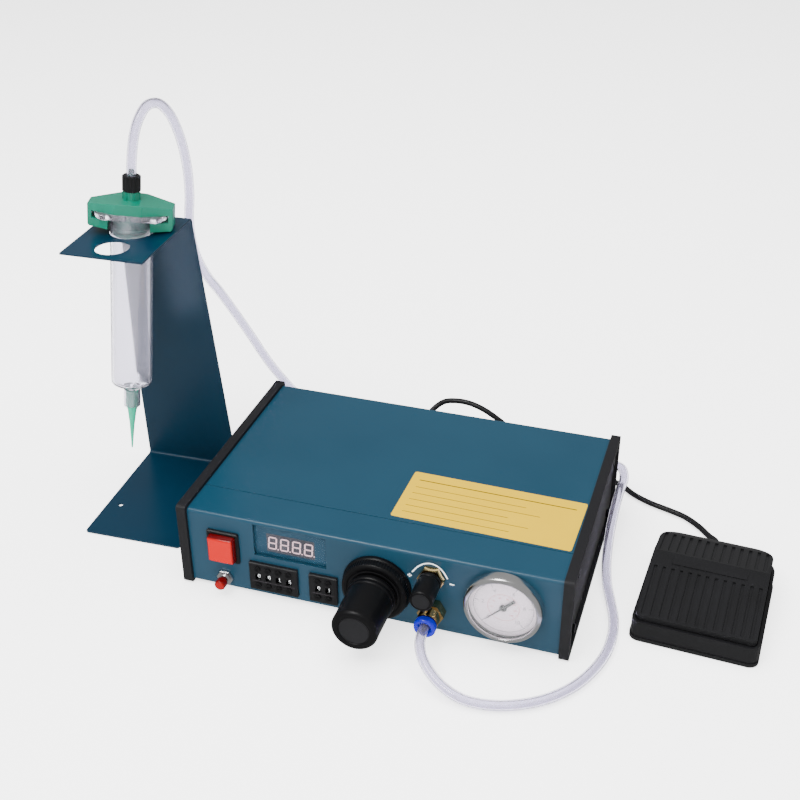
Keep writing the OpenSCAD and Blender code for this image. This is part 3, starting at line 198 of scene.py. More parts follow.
# moulded plastic with the fine spark grain of its tool
def mouldedPlastic(name, dark, light, size, depth, low, high, ior=1.53, gloss=0.5, extra=None):
    material, tree = startMaterial(name)
    fine = grain(tree, size, detail=4)
    cloud = grain(tree, 22, detail=2)
    colour = drift(tree, cloud, dark, light)
    endMaterial(tree, {"IOR": ior, "Specular IOR Level": gloss, **(extra or {})},
                {"Base Color": colour, "Normal": bump(tree, fine, depth, 0.6),
                 "Roughness": levels(tree, fine, low, high)})
    return material


# plated or bare metal: bright, with tool marks that run round or along the part
def finishedMetal(name, dark, light, size, stretch, depth, low, high):
    material, tree = startMaterial(name)
    marks = grain(tree, size, stretch, detail=3)
    cloud = grain(tree, 12, detail=2)
    colour = drift(tree, cloud, dark, light)
    endMaterial(tree, {"Metallic": 1.0},
                {"Base Color": colour, "Normal": bump(tree, marks, depth, 0.4),
                 "Roughness": levels(tree, marks, low, high)})
    return material


# moulded translucent cap with painted light: faces that point to the front get the bright face colour, and
# the sides (side, deep) get a painted shade that deepens to dark red
def litPolycarbonate(name, face, side, deep):
    material, tree = startMaterial(name)
    shape = addNode(tree, "NewGeometry")
    parts = addNode(tree, "SeparateXYZ", {}, {"Vector": shape.outputs["Normal"]})
    # painted light: the more a face points to the front (-Y), the more it takes the bright face colour
    # instead of the painted side shade
    paintedLightMask = addNode(tree, "MapRange", {"From Min": -0.4, "From Max": -0.98}, {"Value": parts.outputs["Y"]})
    cloud = grain(tree, 6, detail=2)
    paintedSideShade = drift(tree, cloud, deep, side)
    colour = addNode(tree, "Mix", {"data_type": "RGBA", 7: toLinear(face)},
                     {0: paintedLightMask.outputs[0], 6: paintedSideShade})
    endMaterial(tree, {"IOR": 1.58, "Roughness": 0.2, "Specular IOR Level": 0.3},
                {"Base Color": colour.outputs[2]})
    return material


# cast acrylic sheet over the digits: a polished face that lets them and the tinted film show
def castAcrylic():
    material, tree = startMaterial("castAcrylic")
    haze = grain(tree, 9, detail=2)
    colour = drift(tree, haze, "#15303d", "#1a3745")
    endMaterial(tree, {"IOR": 1.49, "Alpha": 0.06},
                {"Base Color": colour, "Roughness": levels(tree, haze, 0.06, 0.12)})
    return material


# green solder mask over copper tracks
def solderMask():
    material, tree = startMaterial("solderMask")
    place = addNode(tree, "TexCoord")
    tracks = addNode(tree, "TexBrick",
                     {"Scale": 260.0, "Color1": toLinear("#1f6a3c"), "Color2": toLinear("#277a47"),
                      "Mortar": toLinear("#3f9a5c"), "Mortar Size": 0.05, "squash": 2.0},
                     {"Vector": place.outputs["Object"]})
    endMaterial(tree, {"IOR": 1.55, "Roughness": 0.35},
                {"Base Color": tracks.outputs["Color"],
                 "Normal": bump(tree, tracks, 0.04, 0.5)})
    return material


# polymer that lets light through, a little hazy
def clearPolymer(name, low, high, smooth, rough, ior):
    material, tree = startMaterial(name)
    flow = grain(tree, 60, detail=2)
    endMaterial(tree, {"IOR": ior, "Transmission Weight": 0.93},
                {"Base Color": drift(tree, flow, low, high), "Roughness": levels(tree, flow, smooth, rough)})
    return material


# polished glass over the dial: nearly all of it lets the light straight through
def gaugeGlass():
    material, tree = startMaterial("gaugeGlass")
    haze = grain(tree, 15, detail=2)
    endMaterial(tree, {"IOR": 1.52, "Alpha": 0.05, "Base Color": toLinear("#f4f7f8")},
                {"Roughness": levels(tree, haze, 0.02, 0.06)})
    return material


# lit segments behind the window
def litSegments():
    material, tree = startMaterial("litSegments")
    flow = grain(tree, 4, detail=2)
    colour = drift(tree, flow, "#ba99a1", "#c6a8ae")
    endMaterial(tree, {"Roughness": 0.5, "Emission Strength": 0.46},
                {"Base Color": colour, "Emission Color": colour})
    return material


# laminated core: thin steel sheets on edge
def laminatedCore():
    material, tree = startMaterial("laminatedCore")
    place = addNode(tree, "TexCoord")
    sheets = addNode(tree, "TexWave",
                     {"bands_direction": "Y", "Scale": 160.0, "Distortion": 0.2, "Detail": 1.0},
                     {"Vector": place.outputs["Object"]})
    colour = drift(tree, sheets, "#34343a", "#55555c")
    endMaterial(tree, {"Metallic": 0.6, "Roughness": 0.5},
                {"Base Color": colour, "Normal": bump(tree, sheets, 0.1, 0.6)})
    return material


# printed ink or vinyl film: flat colour with the slight unevenness of the print
def printedFilm(name, low, high, roughness, relief=0.02):
    material, tree = startMaterial(name)
    mottle = grain(tree, 3.5, detail=4)
    cloud = grain(tree, 34, detail=2)
    colour = drift(tree, cloud, low, high)
    endMaterial(tree, {"IOR": 1.46, "Specular IOR Level": 0.3},
                {"Base Color": colour, "Normal": bump(tree, mottle, relief, 0.3),
                 "Roughness": levels(tree, mottle, roughness - 0.05, roughness + 0.05)})
    return material


blueCoat = powderCoatedSteel("bluePowderCoat", *coatValues["case"])
# darker copy of the case's blue paint: painted shade on the stand
standCoatPaintedShade = powderCoatedSteel("standPowderCoatShaded", *coatValues["stand"])
blackCoat = texturedBlackCoat()
blackAbs = mouldedPlastic("mouldedBlackAbs", "#0a0a0b", "#0f0f11", 0.5, 0.03, 0.36, 0.46, gloss=0.35)
keyBlack = mouldedPlastic("mouldedBlackKeys", "#050506", "#08080a", 0.5, 0.02, 0.42, 0.52, gloss=0.3)
satinBlack = mouldedPlastic("satinBlackAbs", "#030304", "#060607", 0.9, 0.02, 0.36, 0.46, gloss=0.25)
mattBlackEnd = mouldedPlastic("mattBlackAbsEnd", "#0e0e10", "#151518", 0.7, 0.03, 0.46, 0.56, gloss=0.35)
pedalPlastic = mouldedPlastic("stippledPedalAbs", "#0b0b0c", "#111113", 0.8, 0.1, 0.36, 0.5, gloss=0.35)
blueAcetal = mouldedPlastic("mouldedBlueAcetal", "#020288", "#05059e", 0.8, 0.02, 0.22, 0.32, 1.48)
greenAdapter = mouldedPlastic("mouldedGreenNylon", "#035f4b", "#076d57", 0.9, 0.02, 0.26, 0.36, 1.5,
                              extra={"Subsurface Weight": 0.25, "Subsurface Radius": (0.001, 0.004, 0.003),
                                     "Transmission Weight": 0.08})
greenTip = mouldedPlastic("mouldedGreenTip", "#0c9a78", "#1cae8c", 0.9, 0.01, 0.24, 0.34, 1.49,
                          extra={"Subsurface Weight": 0.25, "Subsurface Radius": (0.001, 0.003, 0.003),
                                 "Transmission Weight": 0.15})
blackPvc = mouldedPlastic("extrudedBlackPvc", "#0a0a0b", "#101012", 0.6, 0.02, 0.38, 0.5, gloss=0.4)
displayFace = mouldedPlastic("displayModuleFace", "#332f36", "#3a363c", 1.0, 0.01, 0.4, 0.5)
zincPlate = finishedMetal("zincPlatedSteel", "#cfd0d2", "#e4e5e6", 0.5, (1, 1, 1), 0.02, 0.24, 0.38)
blackScrew = finishedMetal("blackenedSteel", "#2a2a2d", "#3c3c40", 0.5, (1, 1, 1), 0.03, 0.34, 0.48)
turnedBrass = finishedMetal("turnedBrass", "#c4a468", "#dcc190", 0.8, (0.05, 1, 0.05), 0.02, 0.16, 0.3)
nickelPlate = finishedMetal("nickelPlatedBrass", "#b3b0a9", "#cfccc6", 0.6, (0.1, 1, 0.1), 0.02, 0.18, 0.3)
chrome = finishedMetal("polishedChrome", "#dcdcdc", "#eeeeed", 1.0, (0.05, 1, 0.05), 0.004, 0.2, 0.28)
milledAluminium = finishedMetal("milledAluminium", "#8f9195", "#abadb0", 0.7, (0.06, 1, 1), 0.03, 0.3, 0.42)
springSteel = finishedMetal("springSteel", "#8b8d90", "#a5a7aa", 0.3, (1, 1, 0.1), 0.02, 0.26, 0.36)
# red caps: the colour of the lit front face, then the painted shade of the sides, then its deepest tone
redCap = litPolycarbonate("powerCapPaintedShade", "#a00301", "#520204", "#380203")
redKnob = litPolycarbonate("shotCapPaintedShade", "#7a0504", "#5c0404", "#440303")
windowFilter = castAcrylic()
boardGreen = solderMask()
frostedBarrel = clearPolymer("clearPolypropylene", "#e2e0eb", "#e9e7f1", 0.06, 0.1, 1.49)
clearHose = clearPolymer("clearPolyurethane", "#d0ccdf", "#dad7e6", 0.04, 0.08, 1.46)
dialGlass = gaugeGlass()
lightSegments = litSegments()
coreSteel = laminatedCore()
whiteEnamel = printedFilm("whiteDialEnamel", "#bbadb9", "#c5b8c3", 0.45)
greyInk = printedFilm("greyDialInk", "#5a575d", "#66636a", 0.5)
redInk = printedFilm("redDialInk", "#a8434e", "#b54d57", 0.5)
lineInk = printedFilm("greyLineInk", "#2d292d", "#353136", 0.5)
keyInk = printedFilm("greyKeyInk", "#1c1c1f", "#242428", 0.5)
darkInk = printedFilm("blackInk", "#2a2410", "#33290f", 0.4)
whiteInk = printedFilm("whiteInk", "#e9eef0", "#f6f9fa", 0.45)
yellowVinyl = printedFilm("yellowVinyl", "#bc9800", "#c6a200", 0.34)
filterFilm = printedFilm("blueFilterFilm", "#163345", "#1a394b", 0.6, 0.001)
pointerEnamel = printedFilm("darkPointerEnamel", "#1d1c20", "#28272b", 0.4)
print("materials made:", len(bpy.data.materials))


def smoothAbove(mesh, degrees):
    for polygon in mesh.polygons:
        polygon.use_smooth = True
    mesh.set_sharp_from_angle(angle=math.radians(degrees))


# a finished bmesh becomes an object in the row frame, on its body, standing for its solids
def addPiece(name, shape, place, body, material, standsFor=(), sharp=35):
    bmesh.ops.remove_doubles(shape, verts=shape.verts, dist=1e-5)
    bmesh.ops.recalc_face_normals(shape, faces=shape.faces)
    mesh = bpy.data.meshes.new(name)
    shape.to_mesh(mesh)
    shape.free()
    mesh.transform(Matrix.Scale(0.001, 4) @ place)
    mesh.materials.append(material)
    smoothAbove(mesh, sharp)
    piece = bpy.data.objects.new(name, mesh)
    bpy.context.scene.collection.objects.link(piece)
    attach(piece, body)
    if standsFor:
        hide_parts(*standsFor)
    return piece


# profile points are (radius, along), with an optional third number that rounds the corner
def softened(points, steps=4):
    made = []
    for i, point in enumerate(points):
        here = Vector(point[:2])
        if len(point) < 3 or i in (0, len(points) - 1):
            made.append(here)
            continue
        before, after = Vector(points[i - 1][:2]) - here, Vector(points[i + 1][:2]) - here
        reach = min(point[2], before.length * 0.49, after.length * 0.49)
        first, last = here + before.normalized() * reach, here + after.normalized() * reach
        for k in range(steps + 1):
            t = k / steps
            made.append(first * (1 - t) ** 2 + here * 2 * t * (1 - t) + last * t * t)
    return made


# a band of faces between two rings of as many points
def band(shape, one, two):
    for k in range(len(one)):
        n = (k + 1) % len(one)
        shape.faces.new([one[k], one[n], two[n], two[k]])


# rings stacked to a closed solid
def stacked(shape, rings):
    for one, two in zip(rings, rings[1:]):
        band(shape, one, two)
    shape.faces.new(rings[0][::-1])
    shape.faces.new(rings[-1])
    return shape


# turned about its own Z; "ribbed" may change the radius by the angle
def turned(profile, sides=96, ribbed=None):
    shape = bmesh.new()
    rings = []
    for radius, along in softened(profile):
        if radius < 1e-6:
            rings.append([shape.verts.new((0, 0, along))])
            continue
        ring = []
        for k in range(sides):
            angle = 2 * math.pi * k / sides
            r = ribbed(radius, along, angle) if ribbed else radius
            ring.append(shape.verts.new((r * math.cos(angle), r * math.sin(angle), along)))
        rings.append(ring)
    for one, two in zip(rings, rings[1:]):
        if len(one) == 1 and len(two) == 1:
            continue
        for k in range(sides):
            n = (k + 1) % sides
            if len(one) == 1:
                shape.faces.new([one[0], two[k], two[n]])
            elif len(two) == 1:
                shape.faces.new([one[k], two[0], one[n]])
            else:
                shape.faces.new([one[k], two[k], two[n], one[n]])
    return shape


# an outline in its own XY, drawn from one height to another, with its rims bevelled
def drawnOut(outline, low, high, bevel=0.0):
    shape = bmesh.new()
    steps = [(low, 0), (high, 0)]
    if bevel:
        steps = [(low, bevel), (low + bevel, 0), (high - bevel, 0), (high, bevel)]
    rings = []
    count = len(outline)
    for height, back in steps:
        ring = []
        for i in range(count):
            before, here, after = (Vector(outline[k % count]) for k in (i - 1, i, i + 1))
            along = (here - before).normalized() + (after - here).normalized()
            point = here + Vector((-along.y, along.x)).normalized() * back
            ring.append(shape.verts.new((point.x, point.y, height)))
        rings.append(ring)
    return stacked(shape, rings)


def roundedBox(width, height, corner, steps=5):
    points = []
    for cx, cy, start in ((1, 1, 0), (-1, 1, 90), (-1, -1, 180), (1, -1, 270)):
        for k in range(steps + 1):
            angle = math.radians(start + 90 * k / steps)
            points.append((cx * (width / 2 - corner) + corner * math.cos(angle),
                           cy * (height / 2 - corner) + corner * math.sin(angle)))
    return points


# smooth line through the route's points, with a point every few millimetres
def smoothLine(points, every):
    points = [Vector(p) for p in points]
    ends = [2 * points[0] - points[1]] + points + [2 * points[-1] - points[-2]]
    line = [points[0]]
    for i in range(1, len(ends) - 2):
        p0, p1, p2, p3 = ends[i - 1:i + 3]
        t0 = 0.0
        t1 = t0 + (p1 - p0).length ** 0.5
        t2 = t1 + (p2 - p1).length ** 0.5
        t3 = t2 + (p3 - p2).length ** 0.5
        parts = max(1, round((p2 - p1).length / every))
        for k in range(1, parts + 1):
            t = t1 + (t2 - t1) * k / parts
            a1 = p0 * ((t1 - t) / (t1 - t0)) + p1 * ((t - t0) / (t1 - t0))
            a2 = p1 * ((t2 - t) / (t2 - t1)) + p2 * ((t - t1) / (t2 - t1))
            a3 = p2 * ((t3 - t) / (t3 - t2)) + p3 * ((t - t2) / (t3 - t2))
            b1 = a1 * ((t2 - t) / (t2 - t0)) + a2 * ((t - t0) / (t2 - t0))
            b2 = a2 * ((t3 - t) / (t3 - t1)) + a3 * ((t - t1) / (t3 - t1))
            line.append(b1 * ((t2 - t) / (t2 - t1)) + b2 * ((t - t1) / (t2 - t1)))
    return line


# a wall swept along a line, from the outer radius to the bore
def sweptTube(line, outer, bore=0.0, sides=24):
    shape = bmesh.new()
    up = Vector((0, 0, 1))
    radii = [outer, bore] if bore else [outer]
    skins = [[] for _ in radii]
    for i, point in enumerate(line):
        along = (line[min(i + 1, len(line) - 1)] - line[max(i - 1, 0)]).normalized()
        up = (up - along * up.dot(along)).normalized()
        side = along.cross(up)
        for skin, radius in zip(skins, radii):
            skin.append([shape.verts.new(point + radius * (math.cos(2 * math.pi * k / sides) * up
                                                           + math.sin(2 * math.pi * k / sides) * side))
                         for k in range(sides)])
    for skin in skins:
        for one, two in zip(skin, skin[1:]):
            band(shape, one, two)
    for end in (0, -1):
        if bore:
            band(shape, skins[0][end], skins[1][end])
        else:
            shape.faces.new(skins[0][end])
    return shape


# air hose: the route's points are those of the solid, from the middle of the controller's front edge
hoseValues = {"diameter": 6.0, "bore": 4.0, "every": 1.6, "onStem": (39.731, 26.431)}
hoseRoute = [
    (39.4, -4.8, 17.1), (39.4, -20.8, 17.1), (40.5, -28, 16), (44, -35, 13.5), (50.5, -41.5, 10),
    (60, -47, 6.5), (72, -50, 4), (87, -48.8, 3.2), (102, -43.5, 3.2), (115.5, -34.5, 3.2), (126.5, -22, 3.2),
    (134, -8, 3.2), (139, 8, 3.2), (140.5, 24, 3.2), (139, 40, 3.2), (134.5, 56, 3.2), (129.5, 72, 4.2),
    (126.2, 88, 8.5), (124.8, 103, 15), (124.4, 119, 21.5), (124.7, 136, 26.3), (125.2, 152, 27.5),
    (120.8, 166.5, 25.8), (108.2, 175.6, 20.5), (91, 178.4, 13.5), (74, 179, 7.5), (57, 179, 4),
    (38, 179, 3.2), (18, 179, 3.2), (-2, 178.8, 3.2), (-22, 178.5, 3.2), (-42, 178.2, 3.4), (-59, 178, 4.6),
    (-75, 177, 8.2), (-89, 175, 16), (-101.5, 172.5, 27.5), (-111, 168.5, 40.5), (-118, 163, 54),
    (-123, 156.5, 67.5), (-127, 150, 81.5), (-131, 144, 96), (-135.5, 138.5, 110), (-139.8, 134, 122),
    (-144.6, 129.8, 134), (-150.4, 126, 145.5), (-154.4, 123, 158), (-156.6, 121, 172), (-156.4, 120, 187),
    (-154.6, 120, 203), (-154, 119.5, 219), (-154.7, 118, 234), (-156.2, 115, 247.5), (-158.3, 110.5, 258.5),
    (-161, 104, 265.5), (-164.2, 97, 266), (-167, 90, 259.5), (-168.8, 85.5, 250)]
cableValues = {"diameter": 3.8, "every": 1.6, "gland": (0, 98, 6)}
cableRoute = [
    (-18, 184.6, 29), (-17.6, 189.5, 30), (-14.5, 193.5, 33), (-9, 195.5, 36.8), (0, 196, 38.6),
    (9, 195.5, 38.6), (18, 194.5, 36.6), (27, 193.5, 32.6), (36, 192.5, 27), (45, 191.5, 19.5),
    (55, 190.5, 11), (66, 189.5, 5), (79, 187.5, 2.4), (94, 186.5, 2.2), (109, 185, 2.2),
    (121, 180.5, 2.2), (131, 172, 2.2), (143, 165.5, 2.2), (156, 161, 2.2), (167, 156.5, 2.2),
    (177, 148.5, 2.2), (184, 139.5, 3), (188.8, 132.5, 5)]


def makeCords():
    adapterEnds = [inSyringe @ Vector((0, 0, along)) for along in hoseValues["onStem"]]
    line = smoothLine([inController @ Vector(p) for p in hoseRoute] + adapterEnds, hoseValues["every"])
    hose = addPiece("airHose", sweptTube(line, hoseValues["diameter"] / 2, hoseValues["bore"] / 2),
                    unmoved, "dispenser", clearHose, ["air_hose"])
    gland = inPedal @ Vector(cableValues["gland"])
    line = smoothLine([gland] + [inController @ Vector(p) for p in cableRoute[::-1]], cableValues["every"])
    cable = addPiece("pedalCable", sweptTube(line, cableValues["diameter"] / 2, sides=16),
                     unmoved, "dispenser", blackPvc, ["pedal_cord"])


makeCords()
print("hose and cable laid")


# a carried-over CAD node gets its finish, and its sharp edges a small round
def dress(names, material, bevelWidth=0.0, angle=40, segments=2):
    for name in names:
        node = nodes[name]
        node.data.materials.clear()
        node.data.materials.append(material)
        if bevelWidth:
            weld = node.modifiers.new("joinedCorners", "WELD")
            weld.merge_threshold = 0.000002
            rounding = node.modifiers.new("roundedEdges", "BEVEL")
            rounding.width = bevelWidth / 1000
            rounding.segments = segments
            rounding.limit_method = "ANGLE"
            rounding.angle_limit = math.radians(angle)
            rounding.harden_normals = True
            rounding.use_clamp_overlap = True


decades = range(1, 7)      # one number wheel with its two keys per decade
dress(["top_cover", "front_panel", "chassis"], blueCoat, 0.25)
dress(["stand_sheet"], standCoatPaintedShade, 0.25)
dress(["side_frame_left", "side_frame_right"], blackCoat, 0.5)
dress(["side_screws"], blackScrew, 0.15)
dress(["power_button_housing"], blackAbs, 0.2)
dress(["display_window"], windowFilter, 0.12)
dress(["control_board"], boardGreen)
dress(["timer_wheel_block", "mode_wheel_block"], blackAbs, 0.12)
dress([f"{kind}_button_{i}" for kind in ("plus", "minus") for i in decades], keyBlack, 0.08)
dress([f"number_wheel_{i}" for i in decades], keyBlack, 0.1)
dress(["regulator_body", "gauge_case"], blackAbs)
dress(["vacuum_valve_body", "outlet_fitting", "air_inlet_fitting"], turnedBrass, 0.15)
dress(["transformer"], coreSteel, 0.2)
dress(["solenoid_valve"], milledAluminium, 0.3)
dress(["mains_inlet"], blackAbs, 0.2)
dress(["pedal_socket", "pedal_plug"], nickelPlate, 0.12)
dress(["syringe_adapter"], greenAdapter, 0.4, 30, 3)
dress(["pedal_base", "pedal_switch"], pedalPlastic, 0.25)
dress(["pedal_treadle"], pedalPlastic, 0.3)
dress(["gauge_lens"], dialGlass)
print("carried-over nodes dressed")


knobValues = {"at": (5.609, 26.1), "radius": 13.8, "length": 34.0, "back": -6.1, "disc": 4.9,
              "collarRadius": 21.0, "collarRibs": 72, "notch": 0.35}


# long knob with a matt disc in its end, and the ribbed collar behind it
def makeRegulator():
    place = onPanel(*knobValues["at"])
    r, back, front = knobValues["radius"], knobValues["back"], knobValues["back"] - knobValues["length"]
    profile = [(4.05, back), (r - 0.4, back, 0.2), (r + 0.9, back - 1.4, 0.5), (r + 0.9, back - 3.6, 0.4),
               (r + 0.25, back - 4.3, 0.3), (r + 0.25, back - 5, 0.3), (r + 0.6, back - 5.4, 0.3),
               (r + 0.6, back - 6.6, 0.4), (r, back - 7.4, 0.6), (r - 0.15, front + 6, 1),
               (r, front + 1.7, 1.2), (r - 1.5, front, 0.9), (r - 4.4, front, 0.4),
               (r - 4.8, front + 0.6, 0.3), (0, front + 0.6)]
    addPiece("regulatorKnob", turned(profile), place, "regulator_knob", satinBlack, ["regulator_knob"],
             50)
    inset = r - knobValues["disc"]
    end = [(0, front + 0.58), (inset, front + 0.58, 0.1), (inset, front + 0.9), (0, front + 0.9)]
    addPiece("regulatorKnobEnd", turned(end), place, "regulator_knob", mattBlackEnd)
    big, ribs = knobValues["collarRadius"], knobValues["collarRibs"]

    def ribbed(radius, along, angle):
        if radius > big - 1.5 and -4.6 < along < -0.6:
            return radius - knobValues["notch"] * (0.5 + 0.5 * math.cos(ribs * angle))
        return radius

    collar = [(16.1, 2.15), (big, 2.15, 0.2), (big, 0.2, 0.4), (big - 0.7, -0.5, 0.3), (big - 0.8, -0.9),
              (big - 0.85, -2.0), (big - 0.95, -3.2), (big - 1.1, -4.4), (big - 1.5, -5.0, 0.4),
              (big - 2.7, -5.8, 0.5), (16.6, -5.8, 0.3), (16.2, -5.5, 0.2), (15.4, -5.5, 0.2),
              (15.0, -5.8, 0.2), (6, -5.8), (6, -4.4)]
    addPiece("regulatorCollar", turned(collar, ribs * 6, ribbed), place, "dispenser", satinBlack,
             ["regulator_collar"], 40)


vacuumValues = {"at": (38.509, 40.3), "radius": 6.85, "length": 19.0, "back": -2.1, "disc": 1.8}


def makeVacuumKnob():
    place = onPanel(*vacuumValues["at"])
    r, back = vacuumValues["radius"], vacuumValues["back"]
    front = back - vacuumValues["length"]
    profile = [(2.55, back), (r - 0.6, back, 0.2), (r, back - 0.8, 0.3), (r, back - 2.4, 0.3),
               (r - 0.4, back - 2.8, 0.2), (r - 0.4, back - 3.4, 0.2), (r, back - 3.8, 0.3),
               (r, front + 0.9, 0.8), (r - 0.9, front, 0.5), (r - 1.5, front, 0.2),
               (r - 1.7, front + 0.2, 0.1), (0, front + 0.2)]
    addPiece("vacuumKnob", turned(profile, 80), place, "vacuum_knob", satinBlack, ["vacuum_knob"],
             50)
    inset = r - vacuumValues["disc"]
    end = [(0, front + 0.18), (inset, front + 0.18, 0.1), (inset, front + 0.5), (0, front + 0.5)]
    addPiece("vacuumKnobEnd", turned(end, 80), place, "vacuum_knob", mattBlackEnd)


outletValues = {"at": (39.398, 17.1), "ringRadius": 6.5, "hose": 3.25, "front": -16.7, "dish": 1.4}


# blue ring of the push-in outlet, dished where the hose goes in
def makeReleaseRing():
    r, bore, front, dish = (outletValues[key] for key in ("ringRadius", "hose", "front", "dish"))
    profile = [(bore, front + dish), (bore + dish, front, 0.5), (r - 0.9, front, 0.8), (r, front + 0.9, 0.8),
               (r, -12.5, 0.3), (4.1, -12.5, 0.1), (4.1, -7.8, 0.2), (bore, -7.8), (bore, front + dish)]
    addPiece("releaseRing", turned(profile, 72), onPanel(*outletValues["at"]), "outlet_release_ring",
             blueAcetal, ["outlet_release_ring"], 45)


gaugeValues = {"at": (81.191, 30.8), "radius": 23.2, "dial": 19.6, "from": -135, "to": 135,
               "cardTop": 0.62, "ink": 0.6,
               "top": 10, "step": 2, "parts": 5, "ticks": 17.2, "numbers": 12.2, "numberSize": 3.4,
               "innerTop": 140, "innerTicks": 9.1, "innerNumbers": 6.7, "innerSize": 1.7,
               "tip": 0.74, "tail": 0.46}
# every tenth, fifth and other mark of the black scale: its length and width
gaugeTicks = {10: (2.6, 0.42), 5: (1.9, 0.3), 1: (1.2, 0.18)}


# a plain figure, centred on its own middle
def numberShape(text, size):
    curve = bpy.data.curves.new("number", "FONT")
    curve.body, curve.size, curve.align_x, curve.align_y = text, size, "CENTER", "CENTER"
    curve.extrude = 0.03
    words = bpy.data.objects.new("number", curve)
    bpy.context.scene.collection.objects.link(words)
    bpy.context.view_layer.update()
    mesh = bpy.data.meshes.new_from_object(words.evaluated_get(bpy.context.evaluated_depsgraph_get()))
    bpy.data.objects.remove(words)
    shape = bmesh.new()
    shape.from_mesh(mesh)
    bpy.data.meshes.remove(mesh)
    for axis in (0, 1):
        middle = (min(v.co[axis] for v in shape.verts) + max(v.co[axis] for v in shape.verts)) / 2
        for vertex in shape.verts:
            vertex.co[axis] -= middle
    return shape


# several shapes made one, each put in its place
def joinShapes(parts):
    whole = bmesh.new()
    for part, place in parts:
        mesh = bpy.data.meshes.new("part")
        part.transform(place)
        part.to_mesh(mesh)
        part.free()
        whole.from_mesh(mesh)
        bpy.data.meshes.remove(mesh)
    return whole


# one line of a scale, which points to the middle of the dial
def scaleTick(degrees, away, tall, wide, low, high):
    tick = drawnOut([(-wide / 2, -tall), (wide / 2, -tall), (wide / 2, 0), (-wide / 2, 0)], low, high)
    return tick, turn(degrees - 90, "Z") @ Matrix.Translation((0, away, 0))


def scaleNumber(number, degrees, away, size, height):
    angle = math.radians(degrees)
    place = Matrix.Translation((away * math.cos(angle), away * math.sin(angle), height))
    return numberShape(str(number), size), place


# chrome bezel, dial card with its two scales, and the pointer
def makeGauge():
    v = gaugeValues
    r, dial, ink, top = v["radius"], v["dial"], v["ink"], v["cardTop"]
    bezel = [(21.1, 2.2), (r - 0.3, 2.2, 0.3), (r, 1.6, 0.4), (r, -2.6, 1.4), (r - 0.9, -4.4, 1.2),
             (r - 2.2, -5, 1.0), (19.9, -5, 0.6), (dial, -4.4, 0.4), (dial, -3.8, 0.2), (21.1, -3.8)]
    addPiece("gaugeBezel", turned(bezel, 128), onPanel(*v["at"]), "dispenser", chrome, ["gauge_bezel"],
             45)
    front = facingOut(*v["at"])
    card = [(0.7, top - 0.2), (dial + 0.6, top - 0.2, 0.05), (dial + 0.6, top, 0.05), (0.7, top)]
    addPiece("gaugeDial", turned(card, 128), front, "dispenser", whiteEnamel)
    first, spread = 90 - v["from"], v["to"] - v["from"]
    marks = []
    count = v["top"] * v["parts"]
    for k in range(count + 1):
        tall, wide = next(size for every, size in gaugeTicks.items() if k % every == 0)
        marks.append(scaleTick(first - spread * k / count, v["ticks"], tall, wide, ink, ink + 0.06))
    for k in range(0, v["top"] + 1, v["step"]):
        marks.append(scaleNumber(k, first - spread * k / v["top"], v["numbers"], v["numberSize"], 0.64))
    low, high = v["ticks"] + 0.05, v["ticks"] + 0.35
    ring = [(low, ink), (high, ink), (high, ink + 0.06), (low, ink + 0.06), (low, ink)]
    marks.append((turned(ring, 128), unmoved))
    addPiece("gaugeMarks", joinShapes(marks), front, "dispenser", greyInk)
    low, high = v["innerTicks"], v["innerTicks"] + 0.2
    ring = [(low, ink), (high, ink), (high, ink + 0.05), (low, ink + 0.05), (low, ink)]
    inner = [(turned(ring, 96), unmoved)]
    for k in range(v["innerTop"] // 10 + 1):
        degrees = first - spread * k * 10 / v["innerTop"]
        inner.append(scaleTick(degrees, low, 0.9, 0.24, ink, ink + 0.05))
        if k % 2 == 0:
            inner.append(scaleNumber(k * 10, degrees, v["innerNumbers"], v["innerSize"], 0.63))
    addPiece("gaugeInnerMarks", joinShapes(inner), front, "dispenser", redInk)
    tip, tail = v["tip"] * dial, v["tail"] * dial
    outline = [(-0.5, 2), (-0.16, tip), (0.16, tip), (0.5, 2), (0.95, -2), (0.95, -tail), (-0.95, -tail),
               (-0.95, -2)]
    needle = drawnOut(outline[::-1], 1.1, 1.6, 0.1)
    hub = turned([(0.7, 1.0), (2.2, 1.0, 0.2), (2.2, 1.7, 0.2), (1.3, 1.9, 0.3), (1.1, 2.1, 0.2), (0, 2.1)],
                 40)
    addPiece("gaugePointer", joinShapes([(needle, unmoved), (hub, unmoved)]), front @ turn(-v["from"], "Z"),
             "gauge_pointer", pointerEnamel, ["gauge_pointer"])


shotValues = {"at": (-91.998, 8.7), "flats": 9.4, "capRadius": 3.4}


def makeShotButton():
    place = onPanel(*shotValues["at"])
    r = shotValues["capRadius"]
    cap = [(0, -8.05), (r - 0.9, -8.0, 0.5), (r, -7.1, 0.7), (r, -3.1, 0.2), (r - 0.3, -2.8, 0.2),
           (1.7, -2.8), (1.7, 7.0)]
    addPiece("shotButtonCap", turned(cap, 64), place, "shot_button_cap", redKnob, ["shot_button_cap"],
             45)
    corner = shotValues["flats"] / 2 / math.cos(math.pi / 6)
    hexagon = [(corner * math.cos(math.radians(a)), corner * math.sin(math.radians(a)))
               for a in range(0, 360, 60)]
    nut = drawnOut(hexagon, 0.2, 2.2, 0.25)
    thread = turned([(2.0, 3.8), (3.0, 3.8), (3.0, -0.6), (2.7, -1.0, 0.1), (2.0, -1.0), (2.0, 3.8)], 48)
    body = turned([(0, 4.8), (4.2, 4.8, 0.2), (4.2, 17.8, 0.3), (0, 17.8)], 48)
    addPiece("shotButtonNut", joinShapes([(part, unmoved) for part in (nut, thread, body)]), place,
             "dispenser", zincPlate, ["shot_button_bush"])


powerValues = {"at": (-91.405, 32.3), "width": 16.4, "height": 17.6, "corner": 1.0, "front": -4.2,
               "back": 10.2}


